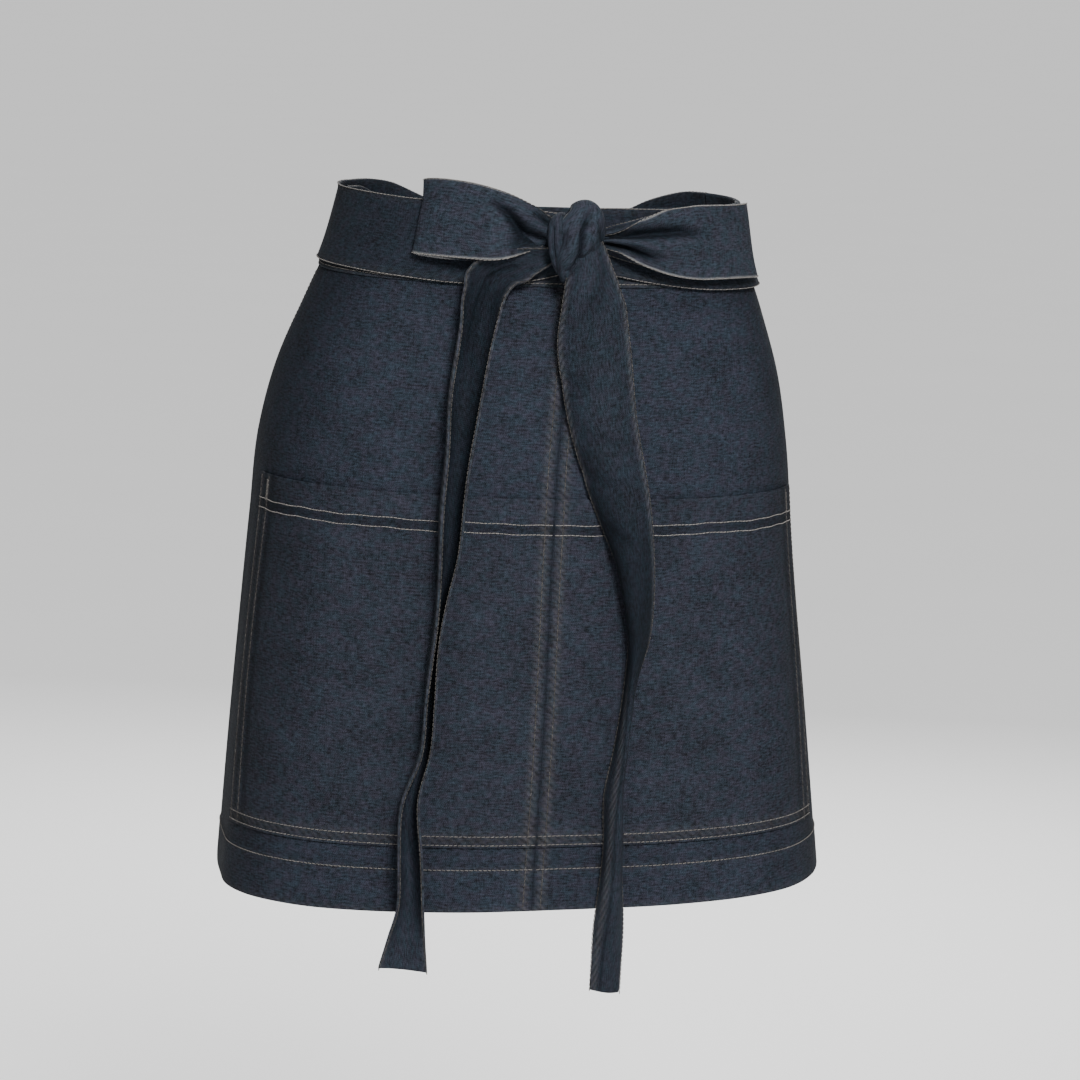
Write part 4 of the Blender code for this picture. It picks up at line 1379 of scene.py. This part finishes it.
class APRON_OT_waistband(bpy.types.Operator):
    """Build the folded waistband with its stitching"""

    bl_idname = "apron.waistband"
    bl_label = "Waistband"

    def execute(self, context):
        name = "waistband"
        thing, sewing = band(name, context.scene.apron_cloth)
        finish_sheet(thing, name)
        return {"FINISHED"}


class APRON_OT_waist_ties(bpy.types.Operator):
    """Build the two ties that go round the waist"""

    bl_idname = "apron.waist_ties"
    bl_label = "Ties Round the Waist"

    def execute(self, context):
        cloth = context.scene.apron_cloth
        for name, side, table in (("tie_left", -1, TIE_FROM_LEFT), ("tie_right", 1, TIE_FROM_RIGHT)):
            thing, sewing, run = waist_tie(name, side, table, cloth)
            finish_sheet(thing, name)
        return {"FINISHED"}


class APRON_OT_bow_loops(bpy.types.Operator):
    """Build the two loops of the bow with their pressed folds"""

    bl_idname = "apron.bow_loops"
    bl_label = "Bow Loops"

    def execute(self, context):
        cloth = context.scene.apron_cloth
        loops = (
            ("bow_loop_left", LOOP_LEFT, LOOP_LEFT_FOLDS),
            ("bow_loop_right", LOOP_RIGHT, LOOP_RIGHT_FOLDS),
        )
        for name, table, folds in loops:
            thing, sewing, run = loop(name, table, folds, cloth)
            finish_sheet(thing, name)
        return {"FINISHED"}


class APRON_OT_tails(bpy.types.Operator):
    """Build the two hanging ends of the ties"""

    bl_idname = "apron.tails"
    bl_label = "Tails"

    def execute(self, context):
        cloth = context.scene.apron_cloth
        tails = (
            ("tail_left", TAIL_LEFT, TAIL_LEFT_FOLDS, TAIL_LEFT_PAINTED_SHADE, True),
            ("tail_right", TAIL_RIGHT, TAIL_RIGHT_FOLDS, TAIL_RIGHT_PAINTED_SHADE, False),
        )
        for name, table, folds, shade, seated in tails:
            thing, sewing, run = tail(name, table, folds, shade, seated, cloth)
            finish_sheet(thing, name)
        return {"FINISHED"}


class APRON_OT_knot(bpy.types.Operator):
    """Build the knot in the middle of the bow"""

    bl_idname = "apron.knot"
    bl_label = "Knot"

    def execute(self, context):
        cloth = context.scene.apron_cloth
        thing = knot("knot", cloth)
        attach(thing, "root")
        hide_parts("knot")
        knot_band("knot_over", KNOT_OVER, OVER_FOLDS, cloth)
        knot_band("knot_side", KNOT_SIDE, SIDE_FOLDS, cloth)
        return {"FINISHED"}


class APRON_OT_studio(bpy.types.Operator):
    """Place the pale floor, the soft lights and the camera"""

    bl_idname = "apron.studio"
    bl_label = "Studio"

    def execute(self, context):
        studio = context.scene.apron_studio
        lay_floor(studio)
        light_room(context.scene, studio)
        place_camera(context.scene, studio)
        return {"FINISHED"}


# Half width of the floor, the point that the lamps face, the middle of the picture, sensor width
FLOOR_REACH = 60
LIT_POINT = (0.0, 0.0, -0.22)
PICTURE_MIDDLE = (0.007, 0.0, -0.227)
SENSOR = 36.0


def lay_floor(studio):
    """A plain pale floor, far enough below that the apron's shadow stays soft."""
    reach = FLOOR_REACH
    square = ((-reach, -reach), (reach, -reach), (reach, reach), (-reach, reach))
    corners = [(x, y, -studio.floor_drop) for x, y in square]
    material, tree, shader = new_material("Pale floor")
    place = put(tree, "ShaderNodeTexCoord").outputs["Object"]
    cloud = put(tree, "ShaderNodeTexNoise", {"Vector": place, "Scale": 3.0, "Detail": 3.0}).outputs[0]
    colour = blend(tree, cloud, toned(studio.floor_colour, 0.97), toned(studio.floor_colour))
    tree.links.new(colour, shader.inputs["Base Color"])
    shader.inputs["Roughness"].default_value = 0.9
    shader.inputs["Specular IOR Level"].default_value = 0.1
    new_mesh("floor", corners, [(0, 1, 2, 3)], material)


def add_light(scene, name, place, size, power):
    """A large square light that faces the apron."""
    lamp = bpy.data.lights.new(name, "AREA")
    lamp.size = size
    lamp.energy = power
    thing = bpy.data.objects.new(name, lamp)
    thing.location = place
    thing.rotation_euler = (Vector(LIT_POINT) - Vector(place)).to_track_quat("-Z", "Y").to_euler()
    scene.collection.objects.link(thing)


def light_room(scene, studio):
    """Soft light from beside the camera, from behind and from above, in an evenly lit room."""
    add_light(scene, "key_light", (0.22, -2.35, 1.3), 0.6, studio.key_power)
    add_light(scene, "fill_light", (-1.6, -2.4, 0.1), 1.6, studio.fill_power)
    add_light(scene, "back_light", (0.5, 2.7, 0.7), 1.4, studio.back_power)
    sky_light = bpy.data.lights.new("ceiling_light", "SUN")
    sky_light.energy = studio.ceiling
    sky_light.angle = math.radians(60)
    ceiling = bpy.data.objects.new("ceiling_light", sky_light)
    scene.collection.objects.link(ceiling)
    world = bpy.data.worlds.new("Pale room")
    world.use_nodes = True
    sky = world.node_tree.nodes["Background"]
    sky.inputs["Color"].default_value = (1.0, 1.0, 1.0, 1)
    sky.inputs["Strength"].default_value = studio.room
    scene.world = world


def place_camera(scene, studio):
    """The camera stands a little to the left, looks slightly down and is rolled slightly."""
    back = Vector((
        math.sin(studio.azimuth) * math.cos(studio.elevation),
        -math.cos(studio.azimuth) * math.cos(studio.elevation),
        math.sin(studio.elevation),
    ))
    right = Vector((math.cos(studio.azimuth), math.sin(studio.azimuth), 0.0))
    up = back.cross(right)
    turn = studio.roll
    local_x = right * math.cos(turn) + up * math.sin(turn)
    local_y = up * math.cos(turn) - right * math.sin(turn)
    lens = bpy.data.cameras.new("camera")
    lens.sensor_width = SENSOR
    lens.lens = SENSOR * studio.distance / studio.frame_width
    thing = bpy.data.objects.new("camera", lens)
    turned = Matrix((local_x, local_y, back)).transposed().to_4x4()
    thing.matrix_world = Matrix.Translation(Vector(PICTURE_MIDDLE) + back * studio.distance) @ turned
    scene.collection.objects.link(thing)
    scene.camera = thing


class APRON_PT_panel(bpy.types.Panel):
    """Settings and building steps of the apron"""

    bl_idname = "APRON_PT_panel"
    bl_label = "Denim Half Apron"
    bl_space_type = "VIEW_3D"
    bl_region_type = "UI"
    bl_category = "Apron"

    def draw(self, context):
        column = self.layout.column(align=True)
        for group in (context.scene.apron_cloth, context.scene.apron_studio):
            for setting in group.bl_rna.properties:
                if setting.identifier not in ("rna_type", "name"):
                    column.prop(group, setting.identifier)
            column.separator()
        for step in STEPS:
            column.operator(step.bl_idname)


STEPS = (
    APRON_OT_skirt,
    APRON_OT_pocket,
    APRON_OT_waistband,
    APRON_OT_waist_ties,
    APRON_OT_knot,
    APRON_OT_bow_loops,
    APRON_OT_tails,
    APRON_OT_studio,
)
CLASSES = (ApronCloth, ApronStudio, *STEPS, APRON_PT_panel)


def register():
    """Register the settings, the operators and the panel."""
    for kind in CLASSES:
        bpy.utils.register_class(kind)
    bpy.types.Scene.apron_cloth = bpy.props.PointerProperty(type=ApronCloth)
    bpy.types.Scene.apron_studio = bpy.props.PointerProperty(type=ApronStudio)


def unregister():
    """Take the settings, the operators and the panel away again."""
    del bpy.types.Scene.apron_studio
    del bpy.types.Scene.apron_cloth
    for kind in reversed(CLASSES):
        bpy.utils.unregister_class(kind)


def main():
    """Build the apron and its studio."""
    register()
    bpy.ops.apron.skirt()
    bpy.ops.apron.pocket()
    bpy.ops.apron.waistband()
    bpy.ops.apron.waist_ties()
    bpy.ops.apron.knot()
    bpy.ops.apron.bow_loops()
    bpy.ops.apron.tails()
    bpy.ops.apron.studio()


if __name__ == "__main__":
    main()
